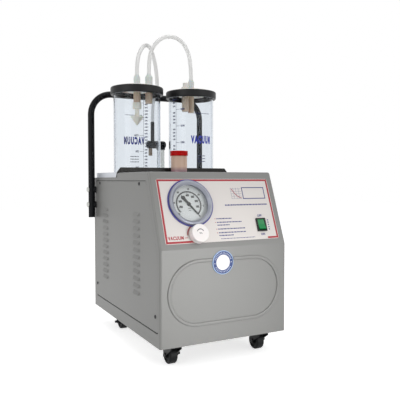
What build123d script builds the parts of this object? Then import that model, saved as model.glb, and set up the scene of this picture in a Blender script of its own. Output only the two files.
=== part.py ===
"""Twin-jar vacuum aspirator: cabinet on casters, jar bay, control panel and pump set.

Millimetres. X runs to the right seen from the front, Y to the rear, Z up.
The origin is on the floor, under the middle of the part's length and width.
"""
import os
from math import atan2, cos, hypot, pi, radians, sin, tan

from build123d import *

# Cabinet of folded sheet steel: upright front, leaning control panel, hood, lower jar bay.
CABINET_W = 320.0
CABINET_D = 468.0
HOOD_LENGTH = 269.0
BAY_H = 361.0
HOOD_STEP = 12.0
SLOPE_RISE = 166.0
SLOPE_SETBACK = 65.0
SHEET = 1.5
FOLD_R = 5.0
CASTER_H = 50.0
SEAM = 0.3
HOOD_H = BAY_H + HOOD_STEP
FOLD_H = HOOD_H - SLOPE_RISE

# Removable side panels, set flush into windows of the cabinet.
PANEL_FRONT_MARGIN = 11.0
PANEL_SLOPE_MARGIN = 17.0
PANEL_TOP_MARGIN = 20.0
PANEL_REAR_MARGIN = 19.0
PANEL_BOTTOM_MARGIN = 30.0
PANEL_CORNER_R = 6.0
PANEL_GAP = 0.4
PANEL_REVEAL = 2.4
LEDGE_W = 10.0
LEDGE_LAP = 5.0
SCREW_R = 2.0
SCREW_HEAD_R = 4.0
SCREW_HEAD_H = 2.2
SCREW_LENGTH = 9.0
SCREW_EDGE = 7.0
SCREW_TOP_DEPTH = 0.25 * CABINET_D

# Louvres pressed into the side and rear panels.
LOUVRE_L = 38.0
LOUVRE_RISE = 6.5
LOUVRE_DROP = 2.0
LOUVRE_OUT = 4.5
LOUVRE_WALL = 1.0
LOUVRE_PITCH = 16.4
LOUVRE_ROWS = 12
LOUVRE_TOP_Z = BAY_H - 86.0
LOUVRE_COLUMNS = (135.0, 365.0)
REAR_LOUVRE_ROWS = 8
REAR_LOUVRE_TOP_Z = BAY_H - 41.0
REAR_LOUVRE_X = 75.0

# Front face: pressed stadium bead, cleared for a round badge.
BEAD_W = 286.0
BEAD_H = 0.705 * FOLD_H
BEAD_Z = 0.54 * FOLD_H
BEAD_BAND = 8.0
BEAD_OUT = 2.4
BADGE_R = 26.5
BADGE_T = 2.6
BADGE_X = -10.0
BADGE_DROP = 10.9
BADGE_Z = BEAD_Z + BEAD_H / 2 - BADGE_DROP
BADGE_GAP = 1.0

# Control panel: sizes along the leaning face, from its middle line and up from the fold.
LABEL_W = 289.0
LABEL_H = 148.0
LABEL_V = 0.488 * hypot(SLOPE_RISE, SLOPE_SETBACK)
LABEL_T = 0.4
LABEL_R = 4.0
GAUGE_U = -70.5
GAUGE_V = LABEL_V + 17.0
GAUGE_BODY_R = 50.0
GAUGE_FLANGE_R = 55.0
GAUGE_FLANGE_T = 2.0
GAUGE_DEPTH = 40.0
GAUGE_WALL = 3.0
BEZEL_R = 52.0
BEZEL_WINDOW_R = 42.0
BEZEL_H = 5.5
GLASS_T = 2.5
DIAL_DEPTH = 8.0
DIAL_T = 1.0
POINTER_TIP = 33.0
POINTER_TAIL = 12.0
POINTER_HUB_R = 4.5
POINTER_TAIL_W = 4.8
POINTER_HUB_W = 3.2
POINTER_TIP_W = 0.8
POINTER_T = 0.8
POINTER_ZERO = -52.0
SPINDLE_R = 1.2
SPINDLE_L = 9.0
PORT_R = 7.0
PORT_L = 15.0

KNOB_U = -67.0
KNOB_V = LABEL_V - 56.0
KNOB_R = 20.4
KNOB_TOP = 18.0
KNOB_EDGE_R = 2.5
KNOB_LIFT = 2.6
KNOB_FLUTES = 20
KNOB_FLUTE_R = 1.5
BUSH_R = 4.0
NEEDLE_R = 2.0
NEEDLE_L = 38.0
NEEDLE_TRAVEL = 3.0
VALVE_R = 11.0
VALVE_DEPTH = 35.0
RUNNING = 0.05

SWITCH_U = 102.7
SWITCH_V = LABEL_V - 40.0
SWITCH_W = 26.0
SWITCH_L = 31.7
SWITCH_FLANGE = 2.5
SWITCH_DEPTH = 20.0
SWITCH_RIM = 2.4
ROCKER_LAND = 3.4
ROCKER_PLAY = 0.4
ROCKER_RISE = 10.0
ROCKER_PIVOT_W = -4.0
ROCKER_DEPTH = 4.0
ROCKER_PIN_R = 1.5
BLADE_W = 6.3
BLADE_T = 0.8
BLADE_L = 10.0

# Carrying handle: one bent tube bolted to the cabinet's sides.
HANDLE_R = 9.0
HANDLE_WALL = 1.5
HANDLE_STANDOFF = 2.5
HANDLE_REAR = 11.5
HANDLE_FOOT_Z = BAY_H - 111.0
HANDLE_TOP_Z = BAY_H + 236.0
HANDLE_BEND_R = 60.0
BOLT_Z = (BAY_H - 75.5, BAY_H - 33.5)
BOLT_R = 4.0
BOLT_CLEAR = 0.2
BOLT_HEAD_R = 7.5
BOLT_HEAD_H = 4.5
BOLT_NUT_H = 6.0

# Jar bay: tray, guard strip, two jars with push-on lids.
TRAY_SIDE = 3.0
TRAY_REAR = 3.0
TRAY_WALL_H = 13.0
TRAY_T = 1.5
TRAY_R = 12.0
GUARD_T = 2.5
GUARD_TOP = 13.5
GUARD_CORNER_W = 9.5
GUARD_CORNER_H = 12.0
GUARD_WING = 11.0

JAR_R = 62.5
JAR_WALL = 3.0
JAR_FLOOR = 4.0
JAR_FOOT_R = 8.0
JAR_H = 230.5
JAR_SPACING = 161.2
JAR_CLEAR = 0.5
LID_R = 70.1
LID_SKIRT = 13.0
LID_TOP_T = 6.5
LID_PLUG = 23.0
LID_GAP = 0.3
PLATE_R = 44.0
PLATE_DROP = 2.0
CAP_R = 52.0
CAP_T = 4.0
STEM_BORE_R = 4.0
COLLAR_R = 11.0
COLLAR_H = 6.0

INLET_STEM_R = 9.5
INLET_STEM_L = 48.0
LEFT_B_OFFSET = 34.2
LEFT_STEM_L = 30.0
NOZZLE_A_R = 7.5
NOZZLE_B_R = 9.0
NOZZLE_A_H = 26.0
NOZZLE_B_H = 30.0
PATIENT_X = -26.7
PATIENT_Y = -18.5
PATIENT_R = 7.0
PATIENT_H = 18.0
TAIL_X = 6.4
TAIL_Y = 17.0
TAIL_R = 6.0
TAIL_L = 28.0

GUIDE_R = 11.7
GUIDE_H = 17.0
FLOAT_NECK_R = 6.0
FLOAT_NECK_L = 22.0
FLOAT_CONE_R = 17.5
FLOAT_CONE_H = 24.0
FLOAT_GAP = 19.0
FLOAT_RUN = 0.08

# Pump line behind the jars.
MANIFOLD_X = 6.0
MANIFOLD_Y = 430.0
MANIFOLD_Z = BAY_H + 96.0
MANIFOLD_R = 11.0
MANIFOLD_LEFT = -15.0
MANIFOLD_RIGHT = 43.0
SOCKET_R = 6.5
SOCKET_TOP = BAY_H + 162.0
STUB_X = -2.0
STUB_R = 6.2
STUB_BOTTOM = BAY_H + 64.0
RISER_X = 33.0
RISER_R = 6.4
RISER_WALL = 1.6

# Clear silicone hoses.
HOSE_R = 5.2

# Small screw-capped moisture trap on the hood.
TRAP_X = 0.0
TRAP_Y = 245.0
TRAP_R = 21.0
TRAP_H = 44.0
TRAP_WALL = 1.6
TRAP_NECK_R = 19.0
TRAP_NECK_H = 9.5
TRAP_CAP_R = 23.0
TRAP_CAP_H = 12.5
TRAP_CAP_T = 2.5
TRAP_CAP_RIBS = 24

# Swivel casters.
CASTER_X = 113.4
CASTER_FRONT_Y = 36.0
CASTER_REAR_Y = 380.0
CASTER_PLATE = 51.0
CASTER_PLATE_T = 2.5
RACE_R = 16.0
RACE_T = 2.5
FORK_CAP_R = 17.0
FORK_CAP_T = 3.4
FORK_FRONT = 15.0
FORK_REAR = 30.0
FORK_LEG_T = 2.5
FORK_GAP = 22.0
FORK_PLAY = 0.3
TRAIL = 15.0
WHEEL_R = 20.0
WHEEL_W = 20.0
WHEEL_EDGE_R = 4.0
WHEEL_HUB_R = 8.0
AXLE_R = 3.0
AXLE_NUT_R = 5.5
AXLE_NUT_T = 4.0
AXLE_END = 9.0
KINGPIN_R = 4.0
KINGPIN_HEAD_R = 6.0
KINGPIN_HEAD_T = 1.2

# Base pan and rear panel.
PAN_T = 2.0
PAN_FLANGE_H = 24.0
REAR_LIP = 12.0
INLET_X = 105.0
INLET_Z = 75.0
INLET_W = 27.0
INLET_H = 20.0
INLET_FLANGE_W = 48.0
INLET_FLANGE_H = 28.0
INLET_FLANGE_T = 2.5
INLET_DEPTH = 22.0
INLET_WALL = 2.0
INLET_PIN_W = 4.0
INLET_PIN_T = 2.0
INLET_PIN_PITCH = 7.0

# Motor and rotary vane pump on one rubber-mounted plate.
MOUNT_R = 12.0
MOUNT_H = 18.0
MOUNT_STUD_R = 3.0
MOTOR_PLATE_T = 4.0
MOTOR_PLATE_W = 170.0
MOTOR_PLATE_FRONT = 85.0
MOTOR_PLATE_REAR = 400.0
MOUNT_INSET = 18.0
SHAFT_H = 72.0
SHAFT_R = 8.0
MOTOR_FRONT = 240.0
MOTOR_L = 140.0
MOTOR_R = 58.0
MOTOR_BORE = 38.6
MOTOR_FINS = 20
FIN_H = 5.0
FIN_T = 2.5
FOOT_W = 22.0
FOOT_X = 42.0
ROTOR_R = 38.0
ROTOR_L = 110.0
BELL_T = 12.0
FAN_R = 50.0
FAN_BLADES = 8
FAN_T = 14.0
FAN_GAP = 4.0
COWL_L = 30.0
COWL_T = 1.2
HUB_R = 18.0
HUB_L = 14.0
JAW_L = 10.0
JAW_END = 1.0
PUMP_FRONT = 100.0
PUMP_L = 70.0
PUMP_R = 50.0
PUMP_BORE_R = 32.0
PUMP_ECCENTRIC = 4.0
PUMP_ROTOR_PLAY = 0.2
PUMP_SHAFT_R = 7.0
PUMP_COVER_T = 12.0
PUMP_PORT_X = 33.0
PUMP_PORT_R = 9.0
PUMP_PORT_TOP = 50.0
VANE_T = 3.0
VANE_DEPTH = 16.0
VANES = 4

# Rigid vacuum and exhaust pipes, and the motor's run capacitor.
PIPE_R = 5.0
PIPE_BEND = 14.0
PIPE_Z = BAY_H - 61.0
GAUGE_TEE_Z = BAY_H - 89.0
VALVE_TEE_Z = BAY_H - 155.0
EXHAUST_Z = 188.0
EXHAUST_OUT = 17.0
EXHAUST_NOZZLE_R = 6.0
SILENCER_R = 16.0
SILENCER_L = 70.0
SILENCER_Y = 270.0
CAPACITOR_R = 20.0
CAPACITOR_H = 78.0
CAPACITOR_X = 118.0
CAPACITOR_Y = 300.0

LEAN = atan2(SLOPE_SETBACK, HOOD_H - FOLD_H)
KNOB_REACH = (
    (KNOB_R - KNOB_EDGE_R) * sin(LEAN)
    + (KNOB_TOP - KNOB_EDGE_R) * cos(LEAN)
    + KNOB_EDGE_R
    - KNOB_V * sin(LEAN)
)
FRONT_Y = -(CABINET_D + EXHAUST_OUT - KNOB_REACH) / 2
HALF_W = CABINET_W / 2
TRAY_FRONT = HOOD_LENGTH + GUARD_T + SEAM
JAR_Y = TRAY_FRONT + TRAY_T + JAR_CLEAR + JAR_R
STANDING = (Align.CENTER, Align.CENTER, Align.MIN)
THROUGH = 10.0


def at(x, depth, height):
    """Place measured from the cabinet: middle, front face and underside."""
    return Pos(x, FRONT_Y + depth, CASTER_H + height)


def point(x, depth, height):
    """The same place as a tuple, for routes."""
    return (x, FRONT_Y + depth, CASTER_H + height)


def on_slope(u, v, w=0.0):
    """Place on the control panel: across, up the slope, and out from its face."""
    plane = Plane(
        origin=point(0, 0, FOLD_H), x_dir=(1, 0, 0), z_dir=(0, -cos(LEAN), sin(LEAN))
    )
    return plane.location * Pos(u, v, w)


def disc(radius, low, high):
    """Upright cylinder between two heights."""
    return Pos(0, 0, low) * Cylinder(radius, high - low, align=STANDING)


def ring(outer, inner, low, high):
    """Upright hollow cylinder between two heights."""
    return disc(outer, low, high) - disc(inner, low - THROUGH, high + THROUGH)


def block(x0, x1, y0, y1, z0, z1):
    """Box between two corners."""
    return Pos((x0 + x1) / 2, (y0 + y1) / 2, (z0 + z1) / 2) * Box(x1 - x0, y1 - y0, z1 - z0)


def turned(points):
    """Solid of revolution about Z from a radius and height outline."""
    outline = Polyline(*[(r, 0, z) for r, z in points], close=True)
    return revolve(make_face(outline), Axis.Z)


def lying(shape):
    """Turns an upright shape so that its axis runs to the rear."""
    return Rot(-90, 0, 0) * shape


def sideways(shape):
    """Turns an upright shape so that its axis runs to the right."""
    return Rot(0, 90, 0) * shape


def less(shape, *cuts):
    """Takes several cuts from a shape."""
    for cut in cuts:
        shape = shape - cut
    return shape


def side_face(points, x, corner=0.0, grow=0.0):
    """Face in a plane across X, from depth and height points."""
    face = make_face(Polyline(*points, close=True))
    if corner:
        face = fillet(face.vertices(), corner)
    if grow:
        face = offset(face, grow, kind=Kind.INTERSECTION)
    plane = Plane(origin=point(x, 0, 0), x_dir=(0, 1, 0), z_dir=(1, 0, 0))
    return plane * face


def cabinet_points(inset, below, behind):
    """Side outline of the cabinet, inset by a wall and run on past its open sides."""
    slope_top = (HOOD_H - inset - FOLD_H) * tan(LEAN) + inset / cos(LEAN)
    return [
        (inset, -below),
        (inset, FOLD_H - inset * tan(LEAN / 2)),
        (slope_top, HOOD_H - inset),
        (HOOD_LENGTH - inset, HOOD_H - inset),
        (HOOD_LENGTH - inset, BAY_H - inset),
        (CABINET_D + behind, BAY_H - inset),
        (CABINET_D + behind, -below),
    ]


def cabinet_block(inset, below, behind):
    """Solid of the cabinet's outside or inside, with its folds rounded."""
    half = HALF_W - inset
    solid = extrude(side_face(cabinet_points(inset, below, behind), -half), 2 * half)
    fold_z = CASTER_H + FOLD_H
    folds = []
    for edge in solid.edges():
        middle = edge.center()
        across = edge.length > half and abs(middle.X) < 1
        rear_side = middle.Y > FRONT_Y + HOOD_LENGTH - FOLD_R
        if across and not rear_side and middle.Z > fold_z - FOLD_R:
            folds.append(edge)
        if not across and abs(middle.X) > half - 1 and not rear_side and middle.Z > CASTER_H + 1:
            folds.append(edge)
    return fillet(folds, FOLD_R - inset)


def panel_points(reveal=0.0):
    """Outline of a side window from its margins, drawn in at top and bottom by a reveal."""
    front = PANEL_FRONT_MARGIN
    slope = PANEL_SLOPE_MARGIN / cos(LEAN)
    top = HOOD_H - PANEL_TOP_MARGIN - reveal
    low = PANEL_BOTTOM_MARGIN + reveal
    rear = CABINET_D - PANEL_REAR_MARGIN
    return [
        (front, low),
        (front, FOLD_H + (front - slope) / tan(LEAN)),
        ((top - FOLD_H) * tan(LEAN) + slope, top),
        (rear, top),
        (rear, low),
    ]


def panel_screw_places():
    """Depth and height of each side panel screw."""
    top = HOOD_H - PANEL_TOP_MARGIN - SCREW_EDGE
    rear = CABINET_D - PANEL_REAR_MARGIN - SCREW_EDGE
    front = PANEL_FRONT_MARGIN + 2 * SCREW_EDGE
    low = PANEL_BOTTOM_MARGIN + 5 * SCREW_EDGE
    return [
        (front, low),
        (rear, low),
        (SCREW_TOP_DEPTH, top),
        (rear - 4 * SCREW_EDGE, top),
    ]


def rear_screw_places():
    """Across and height of each rear panel screw."""
    x = HALF_W - SHEET - SCREW_EDGE
    heights = (BAY_H / 12, BAY_H / 2, BAY_H - 2 * SCREW_EDGE)
    return [(side * x, height) for side in (-1, 1) for height in heights]


def louvre_prism(length, rise, drop, out):
    """Wedge that stands out most at its lower lip, with slanted ends."""
    wedge = make_face(Polyline((0, rise, 0), (0, -drop, 0), (0, -drop, out), close=True))
    wedge = Pos(-length / 2, 0, 0) * extrude(wedge, length, dir=(1, 0, 0))
    half = length / 2
    ends = [(-half, 0, 0), (half, 0, 0), (half - out, 0, out), (out - half, 0, out)]
    keep = make_face(Polyline(*ends, close=True))
    keep = extrude(keep, rise + drop, dir=(0, 1, 0), both=True)
    return wedge & keep


def louvre_hood():
    """Pressed hood over one louvre slot."""
    outer = louvre_prism(LOUVRE_L, LOUVRE_RISE, LOUVRE_DROP, LOUVRE_OUT)
    return outer - louvre_hollow()


def louvre_hollow():
    """Air way of one louvre, through the sheet and out below the lip."""
    inner = louvre_prism(
        LOUVRE_L - 4 * LOUVRE_WALL,
        LOUVRE_RISE - 2 * LOUVRE_WALL,
        LOUVRE_DROP + LOUVRE_WALL,
        LOUVRE_OUT - LOUVRE_WALL,
    )
    slot_l = LOUVRE_L - 4 * LOUVRE_WALL
    slot_top = LOUVRE_RISE - 2 * LOUVRE_WALL
    slot = block(-slot_l / 2, slot_l / 2, -LOUVRE_DROP, slot_top, -2 * SHEET, SEAM)
    return inner + slot


def with_louvres(panel, places):
    """Cuts the slots and adds the hoods at every place."""
    for place in places:
        panel = panel - place * louvre_hollow()
    hoods = [place * louvre_hood() for place in places]
    return panel + hoods


def side_panel():
    """Right side panel with two columns of louvres."""
    panel = extrude(side_face(panel_points(PANEL_REVEAL), HALF_W, PANEL_CORNER_R), -SHEET)
    places = []
    for column in LOUVRE_COLUMNS:
        for row in range(LOUVRE_ROWS):
            height = LOUVRE_TOP_Z - row * LOUVRE_PITCH
            face = Plane(origin=point(HALF_W, column, height), x_dir=(0, 1, 0), z_dir=(1, 0, 0))
            places.append(face.location)
    panel = with_louvres(panel, places)
    for depth, height in panel_screw_places():
        hole = sideways(disc(SCREW_R, -THROUGH, THROUGH))
        panel = panel - at(HALF_W, depth, height) * hole
    return panel


def handle_bolt_places():
    """Depth and height of the handle's bolts on each side."""
    return [(CABINET_D - HANDLE_REAR, height) for height in BOLT_Z]


def stadium(width, height, thickness):
    """Upright plate with round ends, standing out from the front face."""
    plane = Plane(origin=point(0, 0, BEAD_Z), x_dir=(1, 0, 0), z_dir=(0, -1, 0))
    return extrude(plane * SlotOverall(width, height), thickness)


def front_bead():
    """Half-round bead that outlines the front panel, open where the badge sits."""
    bead = stadium(BEAD_W, BEAD_H, BEAD_OUT)
    inner = stadium(BEAD_W - 2 * BEAD_BAND, BEAD_H - 2 * BEAD_BAND, BEAD_OUT + THROUGH)
    bead = bead - inner
    crest = bead.faces().sort_by(Axis.Y)[0]
    bead = fillet(crest.edges(), BEAD_OUT * 0.9)
    clearing = lying(disc(BADGE_R + BADGE_GAP, -THROUGH, THROUGH))
    return bead - at(BADGE_X, 0, BADGE_Z) * clearing


def cabinet_shell():
    """Folded cover: front, control panel, hood, bay deck and both side frames."""
    shell = cabinet_block(0, 0, 0) - cabinet_block(SHEET, THROUGH, THROUGH)
    for side in (-1, 1):
        start = side * (HALF_W - SHEET)
        outer = side_face(panel_points(), start, PANEL_CORNER_R, LEDGE_LAP)
        inner = side_face(panel_points(), start, PANEL_CORNER_R, -LEDGE_W)
        ledge = extrude(outer - inner, -side * SHEET)
        window = side_face(panel_points(), start, PANEL_CORNER_R, PANEL_GAP)
        shell = shell - extrude(window, side * THROUGH) + ledge
        for depth, height in panel_screw_places():
            hole = sideways(disc(SCREW_R, -THROUGH, THROUGH))
            shell = shell - at(start, depth, height) * hole
        for depth, height in handle_bolt_places():
            hole = sideways(disc(BOLT_R + BOLT_CLEAR, -THROUGH, THROUGH))
            shell = shell - at(start, depth, height) * hole
    rear = CABINET_D - SHEET
    inside = HALF_W - SHEET
    lip = block(-inside, inside, rear - SHEET, rear, PAN_FLANGE_H + SHEET, BAY_H - SHEET)
    lip = lip - block(
        REAR_LIP - inside, inside - REAR_LIP,
        rear - THROUGH, rear + THROUGH,
        0, BAY_H - SHEET - REAR_LIP,
    )
    shell = shell + at(0, 0, 0) * lip
    for x, height in rear_screw_places():
        shell = shell - at(x, rear, height) * lying(disc(SCREW_R, -THROUGH, THROUGH / 2))
    shell = shell + front_bead()
    gauge_hole = on_slope(GAUGE_U, GAUGE_V) * disc(GAUGE_BODY_R + SEAM, -THROUGH, THROUGH)
    valve_hole = on_slope(KNOB_U, KNOB_V) * disc(VALVE_R / 2 + SEAM, -THROUGH, THROUGH)
    switch_hole = on_slope(SWITCH_U, SWITCH_V) * switch_well(SEAM)
    riser_hole = at(RISER_X, MANIFOLD_Y, BAY_H) * disc(RISER_R + SEAM, -THROUGH, THROUGH)
    return less(shell, gauge_hole, valve_hole, switch_hole, riser_hole)


def base_pan():
    """Floor of the cabinet with upturned flanges, holed for the mounts' studs."""
    half = HALF_W - SHEET - SEAM
    front = SHEET + SEAM
    rear = CABINET_D - SHEET - SEAM
    pan = block(-half, half, front, rear, 0, PAN_FLANGE_H)
    pan = pan - block(
        SHEET - half, half - SHEET, front + SHEET, rear - SHEET, PAN_T, PAN_FLANGE_H + THROUGH
    )
    corners = pan.edges().filter_by(Axis.Z).group_by(Axis.Y)[0]
    pan = at(0, 0, 0) * fillet(corners, FOLD_R)
    for x, depth in mount_places():
        pan = pan - at(x, depth, 0) * disc(MOUNT_STUD_R + SEAM, -THROUGH, THROUGH)
    return pan


def rear_panel():
    """Rear cover with louvres, the mains inlet's cut-out and the exhaust hole."""
    half = HALF_W - SHEET - SEAM
    panel = at(0, CABINET_D - SHEET, 0) * block(
        -half, half, 0, SHEET, SEAM, BAY_H - SHEET - SEAM
    )
    places = []
    for x in (-REAR_LOUVRE_X, REAR_LOUVRE_X):
        for row in range(REAR_LOUVRE_ROWS):
            height = REAR_LOUVRE_TOP_Z - row * LOUVRE_PITCH
            face = Plane(origin=point(x, CABINET_D, height), x_dir=(-1, 0, 0), z_dir=(0, 1, 0))
            places.append(face.location)
    panel = with_louvres(panel, places)
    panel = panel - at(INLET_X, CABINET_D, INLET_Z) * inlet_body(SEAM)
    exhaust = lying(disc(PIPE_R + SEAM, -THROUGH, THROUGH))
    panel = panel - at(-PUMP_PORT_X, CABINET_D, EXHAUST_Z) * exhaust
    for x, height in rear_screw_places():
        hole = lying(disc(SCREW_R, -THROUGH, THROUGH))
        panel = panel - at(x, CABINET_D, height) * hole
    return panel


def screw():
    """Pan-head screw whose head stands on Z = 0 with the shank below."""
    head = disc(SCREW_HEAD_R, 0, SCREW_HEAD_H)
    head = fillet(head.edges().sort_by(Axis.Z)[-1], SCREW_HEAD_H * 0.7)
    return head + disc(SCREW_R - RUNNING, -SCREW_LENGTH, 0)


def panel_screws():
    """All screws of the side and rear panels."""
    screws = []
    for side in (-1, 1):
        for depth, height in panel_screw_places():
            screws.append(at(side * HALF_W, depth, height) * Rot(0, side * 90, 0) * screw())
    for x, height in rear_screw_places():
        screws.append(at(x, CABINET_D, height) * Rot(-90, 0, 0) * screw())
    return screws


def jar_tray():
    """Shallow pressed tray that the jars stand in."""
    half = HALF_W - TRAY_SIDE
    front = TRAY_FRONT
    rear = CABINET_D - TRAY_REAR
    tray = at(0, 0, BAY_H) * block(-half, half, front, rear, 0, TRAY_WALL_H)
    tray = fillet(tray.edges().filter_by(Axis.Z), TRAY_R)
    hollow = at(0, 0, BAY_H) * block(
        TRAY_T - half, half - TRAY_T, front + TRAY_T, rear - TRAY_T, TRAY_T, TRAY_WALL_H + THROUGH
    )
    hollow = fillet(hollow.edges().filter_by(Axis.Z), TRAY_R - TRAY_T)
    drain = at(RISER_X, MANIFOLD_Y, BAY_H) * disc(RISER_R + SEAM, -THROUGH, THROUGH)
    return tray - hollow - drain


def jar_guard():
    """Black strip along the bay's front edge, with clipped corners and side wings."""
    top = HOOD_H + GUARD_TOP
    low = BAY_H
    clip_w = HALF_W - GUARD_CORNER_W
    clip_h = top - GUARD_CORNER_H
    corners = [
        (-HALF_W, low), (-HALF_W, clip_h), (-clip_w, top), (clip_w, top), (HALF_W, clip_h),
        (HALF_W, low),
    ]
    plane = Plane(origin=point(0, HOOD_LENGTH, 0), x_dir=(1, 0, 0), z_dir=(0, -1, 0))
    strip = extrude(plane * make_face(Polyline(*corners, close=True)), -GUARD_T)
    wings = []
    for side in (-1, 1):
        wing = side_face(
            [(HOOD_LENGTH + GUARD_T, low), (HOOD_LENGTH + GUARD_T, clip_h),
             (HOOD_LENGTH + GUARD_WING, low)],
            side * (HALF_W - GUARD_T),
        )
        wings.append(extrude(wing, side * GUARD_T))
    return strip + wings


def control_label():
    """Thin printed sheet on the control panel, cut out round each fitting."""
    sheet = extrude(RectangleRounded(LABEL_W, LABEL_H, LABEL_R), LABEL_T)
    sheet = on_slope(0, LABEL_V) * sheet
    gauge_hole = on_slope(GAUGE_U, GAUGE_V) * disc(GAUGE_BODY_R + SEAM, -THROUGH, THROUGH)
    knob_hole = on_slope(KNOB_U, KNOB_V) * disc(VALVE_R / 2 + SEAM, -THROUGH, THROUGH)
    switch_hole = on_slope(SWITCH_U, SWITCH_V) * switch_well(SEAM)
    return less(sheet, gauge_hole, knob_hole, switch_hole)


def front_badge():
    """Round badge with a low domed face and a raised rim."""
    badge = disc(BADGE_R, 0, BADGE_T)
    badge = fillet(badge.edges().sort_by(Axis.Z)[-1], BADGE_T * 0.4)
    badge = badge - disc(BADGE_R * 0.9, BADGE_T * 0.8, BADGE_T + 1)
    return at(BADGE_X, 0, BADGE_Z) * Rot(90, 0, 0) * badge


def gauge_case():
    """Gauge cup with its panel flange, dial ledge, spindle post and rear port."""
    floor = -GAUGE_DEPTH + GAUGE_WALL
    ledge_r = GAUGE_BODY_R - 2 * GAUGE_WALL
    dial_back = -DIAL_DEPTH - DIAL_T
    case = disc(GAUGE_BODY_R, -GAUGE_DEPTH, LABEL_T)
    case = case + disc(GAUGE_FLANGE_R, LABEL_T, LABEL_T + GAUGE_FLANGE_T)
    case = case - disc(GAUGE_BODY_R - GAUGE_WALL, dial_back, THROUGH)
    case = case - disc(ledge_r, floor, dial_back + 1)
    post = disc(POINTER_HUB_R, floor - 1, dial_back - RUNNING)
    post = post - disc(SPINDLE_R + RUNNING, dial_back - SPINDLE_L - 1, 0)
    port = disc(PORT_R, -GAUGE_DEPTH - PORT_L, -GAUGE_DEPTH + 1)
    return on_slope(GAUGE_U, GAUGE_V) * (case + post + port)


def gauge_bezel():
    """Rounded front ring with a sleeve that clamps the dial."""
    base = LABEL_T + GAUGE_FLANGE_T
    front = disc(BEZEL_R, base, base + BEZEL_H)
    front = fillet(front.edges().sort_by(Axis.Z)[-1], BEZEL_H * 0.6)
    front = front - turned([
        (0, base - 1), (BEZEL_WINDOW_R, base - 1), (BEZEL_WINDOW_R, base + 1),
        (BEZEL_WINDOW_R + BEZEL_H, base + BEZEL_H + 1), (0, base + BEZEL_H + 1),
    ])
    sleeve_r = GAUGE_BODY_R - GAUGE_WALL - RUNNING
    sleeve = ring(sleeve_r, sleeve_r - GAUGE_WALL / 2, -DIAL_DEPTH, base)
    return on_slope(GAUGE_U, GAUGE_V) * (front + sleeve)


def gauge_dial():
    """Printed dial plate with a hole for the pointer's spindle."""
    dial = disc(GAUGE_BODY_R - GAUGE_WALL - RUNNING, -DIAL_DEPTH - DIAL_T, -DIAL_DEPTH)
    return on_slope(GAUGE_U, GAUGE_V) * (dial - disc(SPINDLE_R + RUNNING, -THROUGH * 2, THROUGH))


def gauge_glass():
    """Window glass under the bezel's lip."""
    top = LABEL_T + GAUGE_FLANGE_T
    radius = GAUGE_BODY_R - 1.5 * GAUGE_WALL - 2 * RUNNING
    return on_slope(GAUGE_U, GAUGE_V) * disc(radius, top - GLASS_T, top)


def gauge_pointer():
    """Tapered pointer with counterweight tail, hub and spindle, resting at zero."""
    low = -DIAL_DEPTH + 1
    edge = [
        (-POINTER_TAIL, POINTER_TAIL_W / 2), (0, POINTER_HUB_W / 2), (POINTER_TIP, POINTER_TIP_W / 2),
    ]
    outline = [(along, -half) for along, half in edge] + edge[::-1]
    blade = Pos(0, 0, low) * extrude(make_face(Polyline(*outline, close=True)), POINTER_T)
    hub = disc(POINTER_HUB_R, low, low + 2 * POINTER_T)
    spindle = disc(SPINDLE_R, -DIAL_DEPTH - DIAL_T - SPINDLE_L, low)
    pointer = blade + hub + spindle
    return on_slope(GAUGE_U, GAUGE_V) * Rot(0, 0, POINTER_ZERO) * pointer


def regulator_body():
    """Bleed valve behind the panel: bush, nut, chamber and port."""
    chamber_low = 2 * NEEDLE_R - VALVE_DEPTH
    chamber_high = -VALVE_DEPTH / 2
    bush_top = KNOB_TOP * 0.65
    body = disc(VALVE_R, -VALVE_DEPTH, -SHEET) + disc(VALVE_R / 2, -SHEET, LABEL_T)
    body = body + disc(BUSH_R, LABEL_T, bush_top)
    body = body + disc(PORT_R, -VALVE_DEPTH - PORT_L, -VALVE_DEPTH)
    nut = extrude(RegularPolygon(VALVE_R * 0.7, 6), KNOB_LIFT * 3)
    nut = Pos(0, 0, LABEL_T) * nut
    bore = disc(NEEDLE_R + RUNNING, chamber_low, bush_top + 1)
    chamber = disc(BUSH_R, chamber_low, chamber_high)
    way = disc(NEEDLE_R / 2, -VALVE_DEPTH - PORT_L - 1, chamber_low + 1)
    bleed = Pos(0, 0, chamber_high) * sideways(disc(NEEDLE_R / 2, 0, VALVE_R + 1))
    return on_slope(KNOB_U, KNOB_V) * less(body + nut, bore, chamber, way, bleed)


def regulator_needle():
    """Needle that rises as the knob turns, with a conical tip."""
    low = 2 * NEEDLE_R - VALVE_DEPTH + SEAM
    tip = 2 * NEEDLE_R
    needle = turned([
        (0, low), (NEEDLE_R / 2, low), (NEEDLE_R, low + tip), (NEEDLE_R, low + NEEDLE_L),
        (0, low + NEEDLE_L),
    ])
    return on_slope(KNOB_U, KNOB_V) * needle


def regulator_knob():
    """Fluted round knob, hollow below, turning on the bush."""
    low = LABEL_T + KNOB_LIFT
    bush_top = KNOB_TOP * 0.65
    knob = disc(KNOB_R, low, KNOB_TOP)
    for step in range(KNOB_FLUTES):
        place = Rot(0, 0, step * 360 / KNOB_FLUTES) * Pos(KNOB_R + KNOB_FLUTE_R / 2, 0, 0)
        knob = knob - place * disc(KNOB_FLUTE_R, low + KNOB_EDGE_R, KNOB_TOP - 2 * KNOB_EDGE_R)
    knob = fillet(knob.edges().group_by(Axis.Z)[-1], KNOB_EDGE_R)
    hollow = ring(KNOB_R * 0.8, BUSH_R * 2.2, low - 1, bush_top)
    nut_room = disc(VALVE_R * 0.7 + 1, low - 1, LABEL_T + KNOB_LIFT * 4)
    bore = disc(BUSH_R + RUNNING, low - 1, bush_top + SEAM)
    return on_slope(KNOB_U, KNOB_V) * less(knob, hollow, nut_room, bore)


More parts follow.
